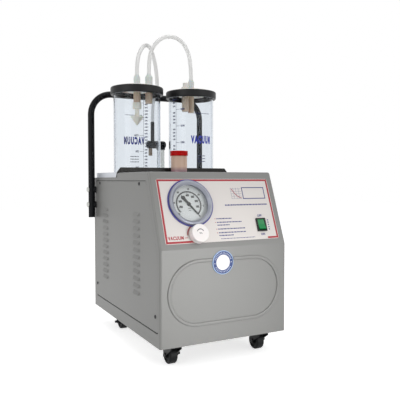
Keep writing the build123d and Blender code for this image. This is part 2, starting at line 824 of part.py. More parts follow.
def switch_well(grow):
    """Body of the switch that passes through the panel."""
    return Pos(0, 0, -SWITCH_DEPTH / 2) * Box(
        SWITCH_W - 2 * SWITCH_RIM + 2 * grow, SWITCH_L - 2 * SWITCH_RIM / 2 + 2 * grow,
        SWITCH_DEPTH + 2 * SHEET,
    )


def switch_housing():
    """Switch body with a square rim, a well for the rocker and rear blades."""
    rim = LABEL_T + SWITCH_FLANGE
    body = block(
        SWITCH_RIM - SWITCH_W / 2, SWITCH_W / 2 - SWITCH_RIM,
        SWITCH_RIM / 2 - SWITCH_L / 2, SWITCH_L / 2 - SWITCH_RIM / 2,
        -SWITCH_DEPTH, LABEL_T,
    )
    flange = block(-SWITCH_W / 2, SWITCH_W / 2, -SWITCH_L / 2, SWITCH_L / 2, LABEL_T, rim)
    flange = fillet(flange.edges().filter_by(Axis.Z), SWITCH_RIM / 2)
    well = block(
        ROCKER_LAND + ROCKER_PLAY - SWITCH_W / 2, SWITCH_W / 2 - ROCKER_LAND - ROCKER_PLAY,
        SWITCH_RIM - SWITCH_L / 2, SWITCH_L / 2 - SWITCH_RIM,
        ROCKER_PIVOT_W - SWITCH_DEPTH / 2, rim + 1,
    )
    pivot = Pos(0, 0, ROCKER_PIVOT_W) * sideways(
        disc(ROCKER_PIN_R + RUNNING, -rocker_pin_reach() - SEAM, rocker_pin_reach() + SEAM)
    )
    blades = [
        block(-BLADE_W / 2, BLADE_W / 2, v - BLADE_T / 2, v + BLADE_T / 2,
              -SWITCH_DEPTH - BLADE_L, -SWITCH_DEPTH)
        for v in (-SWITCH_L / 4, 0, SWITCH_L / 4)
    ]
    return on_slope(SWITCH_U, SWITCH_V) * (less(body + flange, well, pivot) + blades)


def rocker_pin_reach():
    """Half length of the rocker's pivot pin, short of the switch body's side."""
    return SWITCH_W / 2 - SWITCH_RIM - SEAM


def switch_rocker():
    """Rocker with a shallow V top on a pivot pin, resting with its upper end pressed."""
    half_w = SWITCH_W / 2 - ROCKER_LAND - 2 * ROCKER_PLAY
    half_l = SWITCH_L / 2 - SWITCH_RIM - 4 * ROCKER_PLAY
    top = LABEL_T + SWITCH_FLANGE - ROCKER_PIVOT_W - ROCKER_PLAY
    rise = half_l * tan(radians(ROCKER_RISE))
    outline = [
        (-half_l, top + rise - 1), (0, top), (half_l, top + rise - 1),
        (half_l + ROCKER_PLAY / 2, top / 2), (half_l / 2, -ROCKER_DEPTH),
        (-half_l / 2, -ROCKER_DEPTH), (-half_l - ROCKER_PLAY / 2, top / 2),
    ]
    face = make_face(Polyline(*[(0, v, w) for v, w in outline], close=True))
    rocker = extrude(face, half_w, dir=(1, 0, 0), both=True)
    pin = sideways(disc(ROCKER_PIN_R, -rocker_pin_reach(), rocker_pin_reach()))
    place = on_slope(SWITCH_U, SWITCH_V, ROCKER_PIVOT_W)
    return place * Rot(-ROCKER_RISE, 0, 0) * (rocker + pin)


def handle_x():
    """Distance of the handle's legs from the middle."""
    return HALF_W + HANDLE_STANDOFF + HANDLE_R


def handle_tube():
    """Bent tube: two legs and a crossbar joined by round bends, drilled for the bolts."""
    x = handle_x()
    depth = CABINET_D - HANDLE_REAR
    route = FilletPolyline(
        point(-x, depth, HANDLE_FOOT_Z), point(-x, depth, HANDLE_TOP_Z),
        point(x, depth, HANDLE_TOP_Z), point(x, depth, HANDLE_FOOT_Z),
        radius=HANDLE_BEND_R,
    )
    section = Circle(HANDLE_R) - Circle(HANDLE_R - HANDLE_WALL)
    tube = sweep(Plane(origin=route @ 0, z_dir=route % 0) * section, route)
    for side in (-1, 1):
        for bolt_depth, height in handle_bolt_places():
            hole = sideways(disc(BOLT_R + BOLT_CLEAR, -2 * HANDLE_R, 2 * HANDLE_R))
            tube = tube - at(side * x, bolt_depth, height) * hole
    return tube


def handle_bolts():
    """Dome-headed bolts with nuts inside the cabinet."""
    bolts = []
    head_x = handle_x() + HANDLE_R
    for side in (-1, 1):
        for depth, height in handle_bolt_places():
            head = disc(BOLT_HEAD_R, head_x, head_x + BOLT_HEAD_H)
            head = fillet(head.edges().sort_by(Axis.Z)[-1], BOLT_HEAD_H * 0.8)
            inside = HALF_W - 2 * SHEET
            shank = disc(BOLT_R, inside - BOLT_NUT_H, head_x)
            nut = Pos(0, 0, inside - BOLT_NUT_H) * extrude(RegularPolygon(BOLT_R * 1.7, 6), BOLT_NUT_H)
            bolts.append(at(0, depth, height) * Rot(0, side * 90, 0) * (head + shank + nut))
    return bolts


def handle_spacers():
    """Saddle washers between the cabinet's side and the round tube."""
    spacers = []
    for side in (-1, 1):
        for depth, height in handle_bolt_places():
            saddle = ring(HANDLE_R, BOLT_R + BOLT_CLEAR, HALF_W, handle_x() - HANDLE_R / 4)
            tube = Pos(0, 0, handle_x()) * Rot(0, 90, 0) * disc(HANDLE_R, -2 * HANDLE_R, 2 * HANDLE_R)
            spacers.append(at(0, depth, height) * Rot(0, side * 90, 0) * (saddle - tube))
    return spacers


def jar_place(side):
    """Foot of a jar, on the tray's floor."""
    return at(side * JAR_SPACING / 2, JAR_Y, BAY_H + TRAY_T)


def jar(side):
    """Clear jar with a rounded foot and a plain rim."""
    outer = fillet(disc(JAR_R, 0, JAR_H).edges().sort_by(Axis.Z)[0], JAR_FOOT_R)
    hollow = disc(JAR_R - JAR_WALL, JAR_FLOOR, JAR_H + THROUGH)
    hollow = fillet(hollow.edges().sort_by(Axis.Z)[0], JAR_FOOT_R - JAR_WALL)
    return jar_place(side) * (outer - hollow)


def lid_seal(side):
    """Black rubber lid ring: skirt outside the jar, plug inside it."""
    top = JAR_H + LID_TOP_T
    inner = JAR_R - JAR_WALL - LID_GAP
    outline = [
        (PLATE_R, JAR_H - LID_PLUG), (inner, JAR_H - LID_PLUG),
        (inner, JAR_H), (JAR_R + LID_GAP, JAR_H), (JAR_R + LID_GAP, JAR_H - LID_SKIRT),
        (LID_R - 1, JAR_H - LID_SKIRT), (LID_R, JAR_H - LID_SKIRT + 2), (LID_R, top - 3),
        (LID_R - 3, top), (PLATE_R, top),
    ]
    return jar_place(side) * turned(outline)


def lid_disc():
    """Stiff centre plate of a lid, seated in the rubber ring."""
    top = JAR_H + LID_TOP_T
    plate = disc(PLATE_R - RUNNING, JAR_H - PLATE_DROP, top)
    cap = disc(CAP_R, top, top + CAP_T)
    cap = chamfer(cap.edges().sort_by(Axis.Z)[-1], CAP_T / 3)
    return plate + cap


def port(radius, height, stem_r, stem_l):
    """Nozzle with a collar above the plate and a stem below it, bored through."""
    top = JAR_H + LID_TOP_T + CAP_T
    low = JAR_H - PLATE_DROP
    nozzle = disc(radius, top - 1, top + height)
    nozzle = chamfer(nozzle.edges().sort_by(Axis.Z)[-1], 1)
    collar = disc(max(COLLAR_R, radius + 2), top - 1, top + COLLAR_H)
    stem = disc(stem_r, low - stem_l, low + 1)
    return nozzle + collar + stem, disc(STEM_BORE_R, low - stem_l - 1, top + height + 1)


def with_ports(side, ports):
    """Lid plate with its ports fused on and their ways bored through."""
    plate = lid_disc()
    bores = []
    for x, y, size in ports:
        body, bore = port(*size)
        plate = plate + Pos(x, y, 0) * body
        bores.append(Pos(x, y, 0) * bore)
    return jar_place(side) * less(plate, *bores)


def lid_plate_left():
    """Left lid: middle port over the float valve, link port at its right."""
    return with_ports(-1, [
        (0, 0, (NOZZLE_A_R, NOZZLE_A_H, INLET_STEM_R, LEFT_STEM_L)),
        (LEFT_B_OFFSET, 0, (NOZZLE_B_R, NOZZLE_B_H, INLET_STEM_R, LEFT_STEM_L)),
    ])


def lid_plate_right():
    """Right lid: link port in the middle, open patient port and drip tail beside it."""
    plate = with_ports(1, [
        (0, 0, (NOZZLE_A_R, NOZZLE_A_H, INLET_STEM_R - 1, INLET_STEM_L)),
        (PATIENT_X, PATIENT_Y, (PATIENT_R, PATIENT_H, INLET_STEM_R, INLET_STEM_L)),
    ])
    low = JAR_H - PLATE_DROP
    tail = Pos(TAIL_X, TAIL_Y, 0) * disc(TAIL_R, low - TAIL_L, low + 1)
    return plate + jar_place(1) * tail


def float_guide():
    """Ring screwed under the left lid's middle stem, guiding the float's neck."""
    top = JAR_H - PLATE_DROP - LEFT_STEM_L
    guide = ring(GUIDE_R, FLOAT_NECK_R + FLOAT_RUN, top - GUIDE_H, top)
    guide = chamfer(guide.edges().group_by(Axis.Z)[0], 1)
    return jar_place(-1) * guide


def float_valve():
    """Float: a neck that closes the stem, above a downward cone."""
    top = JAR_H - PLATE_DROP - LEFT_STEM_L
    cone_top = top - GUIDE_H - FLOAT_GAP
    neck_top = cone_top + FLOAT_NECK_L + FLOAT_NECK_R
    valve = turned([
        (0, cone_top - FLOAT_CONE_H), (2, cone_top - FLOAT_CONE_H), (FLOAT_CONE_R, cone_top - 2),
        (FLOAT_CONE_R, cone_top), (FLOAT_NECK_R, cone_top + 1), (FLOAT_NECK_R, neck_top - 3),
        (2, neck_top), (0, neck_top),
    ])
    return jar_place(-1) * valve


def rear_manifold():
    """Black moulded block: upright socket for the hose, round-ended body, lower stub."""
    body = sideways(disc(MANIFOLD_R, MANIFOLD_LEFT, MANIFOLD_RIGHT))
    body = fillet(body.edges(), MANIFOLD_R * 0.6)
    rise = SOCKET_TOP - MANIFOLD_Z
    socket = disc(SOCKET_R, 0, rise)
    socket = fillet(socket.edges().sort_by(Axis.Z)[-1], 2)
    stub = Pos(STUB_X, 0, 0) * disc(STUB_R, STUB_BOTTOM - MANIFOLD_Z, 0)
    drop = Pos(RISER_X, 0, 0) * disc(RISER_R + 2, -MANIFOLD_R - 3, 0)
    seat = Pos(RISER_X, 0, 0) * disc(RISER_R, -MANIFOLD_R - 4, -MANIFOLD_R + 2)
    moulding = body + Pos(MANIFOLD_X, 0, 0) * socket + stub + drop
    return at(0, MANIFOLD_Y, MANIFOLD_Z) * (moulding - seat)


def riser_tube():
    """Stiff clear tube from the cabinet's vacuum pipe up to the manifold."""
    top = MANIFOLD_Z - MANIFOLD_R + 2
    tube = ring(RISER_R, RISER_R - RISER_WALL, BAY_H - SHEET - 4, top)
    return at(RISER_X, MANIFOLD_Y, 0) * tube


def trap_bottle():
    """Small clear bottle with a screw neck."""
    height = TRAP_H + TRAP_NECK_H
    outer = disc(TRAP_R, 0, TRAP_H)
    outer = fillet(outer.edges(), TRAP_WALL * 1.5)
    outer = outer + disc(TRAP_NECK_R, TRAP_H - 1, height)
    hollow = disc(TRAP_R - TRAP_WALL, TRAP_WALL, TRAP_H - TRAP_WALL)
    neck = disc(TRAP_NECK_R - TRAP_WALL, TRAP_H - 2 * TRAP_WALL, height + 1)
    return at(TRAP_X, TRAP_Y, HOOD_H) * less(outer, hollow, neck)


def trap_cap():
    """Ribbed screw cap of the bottle."""
    low = TRAP_H + SEAM
    top = low + TRAP_CAP_H
    cap = disc(TRAP_CAP_R, low, top)
    cap = fillet(cap.edges().sort_by(Axis.Z)[-1], TRAP_CAP_T / 2)
    cap = cap - disc(TRAP_NECK_R + SEAM, low - 1, top - TRAP_CAP_T)
    for step in range(TRAP_CAP_RIBS):
        place = Rot(0, 0, step * 360 / TRAP_CAP_RIBS) * Pos(TRAP_CAP_R, 0, 0)
        groove = Box(1, 2, TRAP_CAP_H - TRAP_CAP_T * 2)
        cap = cap - place * Pos(0, 0, low + TRAP_CAP_H / 2 - TRAP_CAP_T / 2) * groove
    return at(TRAP_X, TRAP_Y, HOOD_H) * cap


CASTERS = {
    "front_left": (-CASTER_X, CASTER_FRONT_Y, 1),
    "front_right": (CASTER_X, CASTER_FRONT_Y, 1),
    "rear_left": (-CASTER_X, CASTER_REAR_Y, -1),
    "rear_right": (CASTER_X, CASTER_REAR_Y, -1),
}


def caster_place(name, height=0.0):
    """Swivel axis of a caster, with its wheel trailing along local +Y."""
    x, depth, way = CASTERS[name]
    turn = 0 if way > 0 else 180
    return Pos(x, FRONT_Y + depth, height) * Rot(0, 0, turn)


def race_low():
    """Underside of the caster plate's race."""
    return CASTER_H - CASTER_PLATE_T - RACE_T


def caster_plates():
    """Top plates with their races and riveted king pins."""
    plates = []
    cap_low = race_low() - FORK_PLAY - FORK_CAP_T
    for name in CASTERS:
        plate = Pos(0, 0, CASTER_H - CASTER_PLATE_T) * extrude(
            RectangleRounded(CASTER_PLATE, CASTER_PLATE, FOLD_R), CASTER_PLATE_T
        )
        plate = plate + disc(RACE_R, race_low(), CASTER_H - CASTER_PLATE_T)
        pin_low = cap_low - FORK_PLAY
        plate = plate + disc(KINGPIN_R, pin_low - KINGPIN_HEAD_T, race_low())
        plate = plate + disc(KINGPIN_HEAD_R, pin_low - KINGPIN_HEAD_T, pin_low)
        plates.append(caster_place(name) * plate)
    return plates


def caster_fork(name):
    """Pressed channel fork with a swivel cap, two tapering legs and the wheel's axle."""
    cap_high = race_low() - FORK_PLAY
    cap_low = cap_high - FORK_CAP_T
    cap = ring(FORK_CAP_R, KINGPIN_R + RUNNING, cap_low, cap_high)
    leg_x = FORK_GAP / 2
    crown = block(-leg_x, leg_x, -FORK_FRONT, FORK_REAR, cap_low, cap_high)
    crown = crown - disc(KINGPIN_R + RUNNING, cap_low - 1, cap_high + 1)
    foot = AXLE_NUT_R + 1
    outline = [
        (-FORK_FRONT, cap_high), (FORK_REAR, cap_high), (FORK_REAR, cap_low - FORK_CAP_T),
        (TRAIL + foot, WHEEL_R + 2), (TRAIL + foot, WHEEL_R - AXLE_NUT_R),
        (TRAIL - foot, WHEEL_R - AXLE_NUT_R), (TRAIL - foot, WHEEL_R + 2),
        (-FORK_FRONT, cap_low - FORK_CAP_T),
    ]
    legs = []
    for side in (-1, 1):
        plane = Plane(origin=(side * leg_x, 0, 0), x_dir=(0, 1, 0), z_dir=(1, 0, 0))
        leg = extrude(plane * make_face(Polyline(*outline, close=True)), side * FORK_LEG_T)
        legs.append(leg)
    axle_half = leg_x + FORK_LEG_T
    axle = sideways(disc(AXLE_R, -axle_half, axle_half + AXLE_END))
    nut = sideways(Pos(0, 0, axle_half) * extrude(RegularPolygon(AXLE_NUT_R, 6), AXLE_NUT_T))
    head = sideways(disc(AXLE_NUT_R, -axle_half - AXLE_NUT_T / 2, -axle_half))
    axle = Pos(0, TRAIL, WHEEL_R) * (axle + nut + head)
    return caster_place(name) * (cap + crown + legs + axle)


def caster_wheel(name):
    """Wheel with a rounded tread, dished sides and a bored hub."""
    half = WHEEL_W / 2
    wheel = disc(WHEEL_R, -half, half)
    wheel = fillet(wheel.edges(), WHEEL_EDGE_R)
    for side in (-1, 1):
        dish = ring(WHEEL_R - WHEEL_EDGE_R - 2, WHEEL_HUB_R, half - 2, half + 1)
        wheel = wheel - (dish if side > 0 else mirror(dish, Plane.XY))
    wheel = wheel - disc(AXLE_R + RUNNING, -half - 1, half + 1)
    return caster_place(name) * Pos(0, TRAIL, WHEEL_R) * sideways(wheel)


def plate_low():
    """Underside of the motor plate."""
    return PAN_T + MOUNT_H


def shaft_height():
    """Height of the motor and pump shaft above the cabinet's underside."""
    return plate_low() + MOTOR_PLATE_T + SHAFT_H


def mount_places():
    """Across and depth of the four rubber mounts."""
    x = MOTOR_PLATE_W / 2 - MOUNT_INSET
    depths = (MOTOR_PLATE_FRONT + MOUNT_INSET, MOTOR_PLATE_REAR - MOUNT_INSET)
    return [(side * x, depth) for side in (-1, 1) for depth in depths]


def rubber_mounts():
    """Cylindrical rubber mounts with studs at both ends."""
    mounts = []
    for x, depth in mount_places():
        mount = disc(MOUNT_R, PAN_T, plate_low())
        stud = disc(MOUNT_STUD_R, -PAN_T * 2, plate_low() + MOTOR_PLATE_T + 4)
        mounts.append(at(x, depth, 0) * (mount + stud))
    return mounts


def motor_plate():
    """Folded plate that carries the motor and the pump."""
    half = MOTOR_PLATE_W / 2
    top = plate_low() + MOTOR_PLATE_T
    plate = at(0, 0, 0) * block(
        -half, half, MOTOR_PLATE_FRONT, MOTOR_PLATE_REAR, plate_low(), top
    )
    for x, depth in mount_places():
        plate = plate - at(x, depth, top) * disc(MOUNT_STUD_R + SEAM, -THROUGH, THROUGH)
    return plate


def on_shaft(depth):
    """Place on the shaft, with local Z running to the rear."""
    return at(0, depth, shaft_height()) * Rot(-90, 0, 0)


def feet(depth, length, radius):
    """Pair of feet between a round body and the motor plate."""
    top = plate_low() + MOTOR_PLATE_T
    pads = []
    for side in (-1, 1):
        x = side * FOOT_X
        pads.append(block(x - FOOT_W / 2, x + FOOT_W / 2, depth, depth + length, top, shaft_height()))
    pads = at(0, 0, 0) * (pads[0] + pads[1])
    return pads - on_shaft(depth) * disc(radius - 1, -1, length + 1)


def motor_housing():
    """Finned stator frame with feet, bored for the rotor."""
    body = disc(MOTOR_R, 0, MOTOR_L)
    fins = []
    for step in range(MOTOR_FINS):
        angle = step * 360 / MOTOR_FINS + 180 / MOTOR_FINS
        fin = block(MOTOR_R - 1, MOTOR_R + FIN_H, -FIN_T / 2, FIN_T / 2, 5, MOTOR_L - 5)
        fins.append(Rot(0, 0, angle) * fin)
    body = (body + fins) - disc(MOTOR_BORE, -1, MOTOR_L + 1)
    return (on_shaft(MOTOR_FRONT) * body) + feet(MOTOR_FRONT, MOTOR_L, MOTOR_R)


def motor_end_bells():
    """Both end shields with their bearings, and the fan cowl."""
    bells = []
    for depth in (MOTOR_FRONT - BELL_T, MOTOR_FRONT + MOTOR_L):
        bell = ring(MOTOR_R, SHAFT_R + RUNNING, 0, BELL_T)
        for step in range(6):
            slot = Rot(0, 0, step * 60) * Pos(MOTOR_R * 0.62, 0, 0)
            bell = bell - slot * disc(7, -1, BELL_T + 1)
        bells.append(on_shaft(depth) * bell)
    cowl = ring(MOTOR_R + COWL_T, MOTOR_R, -BELL_T, COWL_L)
    grille = ring(MOTOR_R + COWL_T, MOTOR_R * 0.35, COWL_L, COWL_L + COWL_T)
    for step in range(12):
        hole = Rot(0, 0, step * 30) * Pos(MOTOR_R * 0.68, 0, 0) * disc(6, COWL_L - 1, COWL_L + 3)
        grille = grille - hole
    rear = MOTOR_FRONT + MOTOR_L + BELL_T
    return [bells[0], bells[1] + on_shaft(rear) * (cowl + grille)]


def hub(first_jaw):
    """Jaw coupling half; its jaws point along local Z and end short of the other half."""
    body = disc(HUB_R, -HUB_L, 0)
    jaws = []
    for step in range(3):
        jaw = disc(HUB_R, 0, JAW_L) & block(
            HUB_R * 0.6, HUB_R, -HUB_R * 0.3, HUB_R * 0.3, 0, JAW_L
        )
        jaws.append(Rot(0, 0, first_jaw + step * 120) * jaw)
    return body + jaws


def hub_depths():
    """Depths of the pump's and the motor's hub faces, either side of the jaws."""
    pump_end = PUMP_FRONT + PUMP_L + PUMP_COVER_T
    middle = (pump_end + MOTOR_FRONT - BELL_T) / 2
    reach = (JAW_L + JAW_END) / 2
    return middle - reach, middle + reach


def motor_rotor():
    """Shaft with rotor core, cooling fan and the motor's coupling half."""
    core_low = MOTOR_FRONT + (MOTOR_L - ROTOR_L) / 2
    front = hub_depths()[1]
    fan_low = MOTOR_FRONT + MOTOR_L + BELL_T + FAN_GAP
    shaft = on_shaft(0) * disc(SHAFT_R, front, fan_low + FAN_T)
    core = on_shaft(core_low) * disc(ROTOR_R, 0, ROTOR_L)
    fan = disc(SHAFT_R * 2, 0, FAN_T)
    blades = []
    for step in range(FAN_BLADES):
        blade = block(SHAFT_R, FAN_R, -1, 1, 0, FAN_T)
        blades.append(Rot(0, 0, step * 360 / FAN_BLADES) * blade)
    half = on_shaft(front) * Rot(180, 0, 0) * hub(60)
    return shaft + core + on_shaft(fan_low) * (fan + blades) + half


def pump_rotor():
    """Slotted pump rotor with its shaft and coupling half."""
    bore_r = PUMP_BORE_R - PUMP_ECCENTRIC - PUMP_ROTOR_PLAY
    rotor = disc(bore_r, PUMP_ROTOR_PLAY, PUMP_L - PUMP_ROTOR_PLAY)
    for step in range(VANES):
        slot = block(
            bore_r - VANE_DEPTH - 1, bore_r + 1, -VANE_T / 2 - RUNNING, VANE_T / 2 + RUNNING,
            -1, PUMP_L + 1,
        )
        rotor = rotor - Rot(0, 0, step * 360 / VANES) * slot
    end = hub_depths()[0]
    shaft = on_shaft(0) * disc(PUMP_SHAFT_R, PUMP_FRONT - PUMP_COVER_T / 2, end)
    return on_shaft(PUMP_FRONT) * rotor + shaft + on_shaft(end) * hub(0)


def pump_vanes():
    """Sliding vanes, drawn in flush with the rotor."""
    bore_r = PUMP_BORE_R - PUMP_ECCENTRIC - PUMP_ROTOR_PLAY
    vanes = []
    for step in range(VANES):
        vane = block(
            bore_r - VANE_DEPTH, bore_r - PUMP_ROTOR_PLAY, -VANE_T / 2, VANE_T / 2,
            PUMP_ROTOR_PLAY, PUMP_L - PUMP_ROTOR_PLAY,
        )
        vanes.append(on_shaft(PUMP_FRONT) * Rot(0, 0, step * 360 / VANES) * vane)
    return vanes


def pump_body():
    """Pump stator: round casting with an eccentric bore, feet and two top ports."""
    body = disc(PUMP_R, 0, PUMP_L)
    body = on_shaft(PUMP_FRONT) * body + feet(PUMP_FRONT, PUMP_L, PUMP_R)
    middle = PUMP_FRONT + PUMP_L / 2
    for side in (-1, 1):
        x = side * PUMP_PORT_X
        body = body + at(x, middle, shaft_height()) * disc(PUMP_PORT_R, 0, PUMP_PORT_TOP)
        body = body - at(x, middle, shaft_height()) * disc(PIPE_R - 1, 5, PUMP_PORT_TOP + 1)
    bore = at(0, PUMP_FRONT, shaft_height() - PUMP_ECCENTRIC) * Rot(-90, 0, 0)
    return body - bore * disc(PUMP_BORE_R, -1, PUMP_L + 1)


def pump_covers():
    """Front and drive-side end covers with the shaft's bearings."""
    front = disc(PUMP_R, -PUMP_COVER_T, 0) - disc(PUMP_SHAFT_R + RUNNING, -PUMP_COVER_T * 0.7, 1)
    front = fillet(front.edges().sort_by(Axis.Z)[0], PUMP_COVER_T / 3)
    drive = ring(PUMP_R, PUMP_SHAFT_R + RUNNING, PUMP_L, PUMP_L + PUMP_COVER_T)
    return [on_shaft(PUMP_FRONT) * front, on_shaft(PUMP_FRONT) * drive]


def pipe(*points):
    """Round pipe along straight runs with equal bends."""
    route = FilletPolyline(*points, radius=PIPE_BEND)
    return sweep(Plane(origin=route @ 0, z_dir=route % 0) * Circle(PIPE_R), route)


def behind_panel(u, v, depth):
    """Point a given distance behind the control panel."""
    return tuple(on_slope(u, v, -depth).position)


def suction_pipe():
    """Vacuum pipe from the bulkhead to the pump, with branches to gauge and regulator."""
    middle = PUMP_FRONT + PUMP_L / 2
    port_z = shaft_height() + PUMP_PORT_TOP
    main = pipe(
        point(RISER_X, MANIFOLD_Y, BAY_H - SHEET - 4), point(RISER_X, MANIFOLD_Y, PIPE_Z),
        point(RISER_X, middle, PIPE_Z), point(RISER_X, middle, port_z),
    )
    whole = main
    branches = (
        (GAUGE_U, GAUGE_V, GAUGE_DEPTH + PORT_L, GAUGE_TEE_Z),
        (KNOB_U, KNOB_V, VALVE_DEPTH + PORT_L, VALVE_TEE_Z),
    )
    for u, v, depth, tee_z in branches:
        start = behind_panel(u, v, depth)
        elbow_run = (start[2] - CASTER_H - tee_z) / sin(LEAN)
        elbow = behind_panel(u, v, depth + elbow_run)
        corner = point(u, middle, tee_z)
        whole = whole + pipe(start, elbow, corner, point(RISER_X, middle, tee_z))
        whole = whole + at(RISER_X, middle, tee_z) * disc(PIPE_R * 1.6, -THROUGH, THROUGH)
    return whole


def exhaust_pipe():
    """Exhaust line with an in-line silencer, ending as a nozzle behind the rear panel."""
    middle = PUMP_FRONT + PUMP_L / 2
    x = -PUMP_PORT_X
    line = pipe(
        point(x, middle, shaft_height() + PUMP_PORT_TOP), point(x, middle, EXHAUST_Z),
        point(x, CABINET_D + EXHAUST_OUT, EXHAUST_Z),
    )
    silencer = lying(disc(SILENCER_R, 0, SILENCER_L))
    silencer = fillet(silencer.edges(), PIPE_R / 2)
    nozzle = at(x, CABINET_D, EXHAUST_Z) * lying(disc(EXHAUST_NOZZLE_R, 0, EXHAUST_OUT))
    return line + nozzle + at(x, SILENCER_Y, EXHAUST_Z) * silencer


def run_capacitor():
    """Motor capacitor with its clip, standing on the pan."""
    can = disc(CAPACITOR_R, PAN_T, PAN_T + CAPACITOR_H)
    can = fillet(can.edges().sort_by(Axis.Z)[-1], 3)
    tabs = [
        block(x - 0.4, x + 0.4, -3, 3, PAN_T + CAPACITOR_H - 1, PAN_T + CAPACITOR_H + 9)
        for x in (-6, 6)
    ]
    return at(CAPACITOR_X, CAPACITOR_Y, 0) * (can + tabs)


def inlet_body(grow):
    """Body of the mains inlet that passes through the rear panel."""
    return block(
        -INLET_W / 2 - grow, INLET_W / 2 + grow, -INLET_DEPTH, THROUGH,
        -INLET_H / 2 - grow, INLET_H / 2 + grow,
    )


def mains_inlet():
    """Appliance inlet: eared flange, recessed socket and three flat pins."""
    body = block(-INLET_W / 2, INLET_W / 2, -INLET_DEPTH, 0, -INLET_H / 2, INLET_H / 2)
    flange = Rot(-90, 0, 0) * extrude(
        RectangleRounded(INLET_FLANGE_W, INLET_FLANGE_H, 4), INLET_FLANGE_T
    )
    hollow = block(
        INLET_WALL - INLET_W / 2, INLET_W / 2 - INLET_WALL,
        INLET_WALL * 2 - INLET_DEPTH, THROUGH,
        INLET_WALL - INLET_H / 2, INLET_H / 2 - INLET_WALL,
    )
    hollow = chamfer(hollow.edges().filter_by(Axis.Y).group_by(Axis.Z)[-1], INLET_WALL * 2)
    pins = []
    for x, lift in ((-INLET_PIN_PITCH, -2), (0, 2), (INLET_PIN_PITCH, -2)):
        pins.append(block(
            x - INLET_PIN_T / 2, x + INLET_PIN_T / 2, INLET_WALL * 2 - INLET_DEPTH - 1, -INLET_WALL,
            lift - INLET_PIN_W / 2, lift + INLET_PIN_W / 2,
        ))
    inlet = (body + flange) - hollow + pins
    return at(INLET_X, CABINET_D, INLET_Z) * inlet


def hose(name, points, radius):
    """Round hose along straight runs joined by the largest arcs that the runs allow."""
    runs = [Vector(*b) - Vector(*a) for a, b in zip(points, points[1:])]
    radii = []
    for first, second in zip(runs, runs[1:]):
        turn = radians(first.get_angle(second))
        radii.append(0.45 * min(first.length, second.length) / tan(turn / 2))
    route = FilletPolyline(*points, radius=radii)
    tube = sweep(Plane(origin=route @ 0, z_dir=route % 0) * Circle(radius), route)
    ratio = tube.volume / (pi * radius ** 2 * route.length)
    listed = ", ".join(f"{r:.0f}" for r in radii)
    print(f"{name}: length {route.length:.0f}, radii {listed}, volume ratio {ratio:.4f}")
    return tube


LEFT_X = -JAR_SPACING / 2
RIGHT_X = JAR_SPACING / 2
LID_Z = BAY_H + TRAY_T + JAR_H + LID_TOP_T + CAP_T

LINK_ROUTE = [
    (LEFT_X + LEFT_B_OFFSET, JAR_Y, LID_Z + NOZZLE_B_H),
    (LEFT_X + LEFT_B_OFFSET, JAR_Y, LID_Z + 64.5),
    (-40.0, JAR_Y + 0.2, LID_Z + 102.5),
    (-14.0, JAR_Y + 1.2, LID_Z + 135.5),
    (20.0, JAR_Y + 1.2, LID_Z + 146.5),
    (52.0, JAR_Y + 0.7, LID_Z + 137.5),
    (73.5, JAR_Y + 0.2, LID_Z + 107.0),
    (RIGHT_X, JAR_Y, LID_Z + 64.5),
    (RIGHT_X, JAR_Y, LID_Z + NOZZLE_A_H),
]
PUMP_ROUTE = [
    (LEFT_X, JAR_Y, LID_Z + NOZZLE_A_H),
    (LEFT_X, JAR_Y, LID_Z + 59.5),
    (-69.0, JAR_Y + 12.7, LID_Z + 94.5),
    (-43.0, JAR_Y + 36.7, LID_Z + 124.5),
    (-17.0, MANIFOLD_Y - 34.0, LID_Z + 124.5),
    (2.0, MANIFOLD_Y - 18.0, LID_Z + 92.5),
    (13.0, MANIFOLD_Y - 9.0, LID_Z + 51.5),
    (16.0, MANIFOLD_Y - 3.0, LID_Z + 8.5),
    (MANIFOLD_X, MANIFOLD_Y, SOCKET_TOP + 43.0),
    (MANIFOLD_X, MANIFOLD_Y, SOCKET_TOP),
]


def routed(name, route, radius):
    """Hose along a route given from the cabinet's middle, front and underside."""
    return hose(name, [point(*place) for place in route], radius)


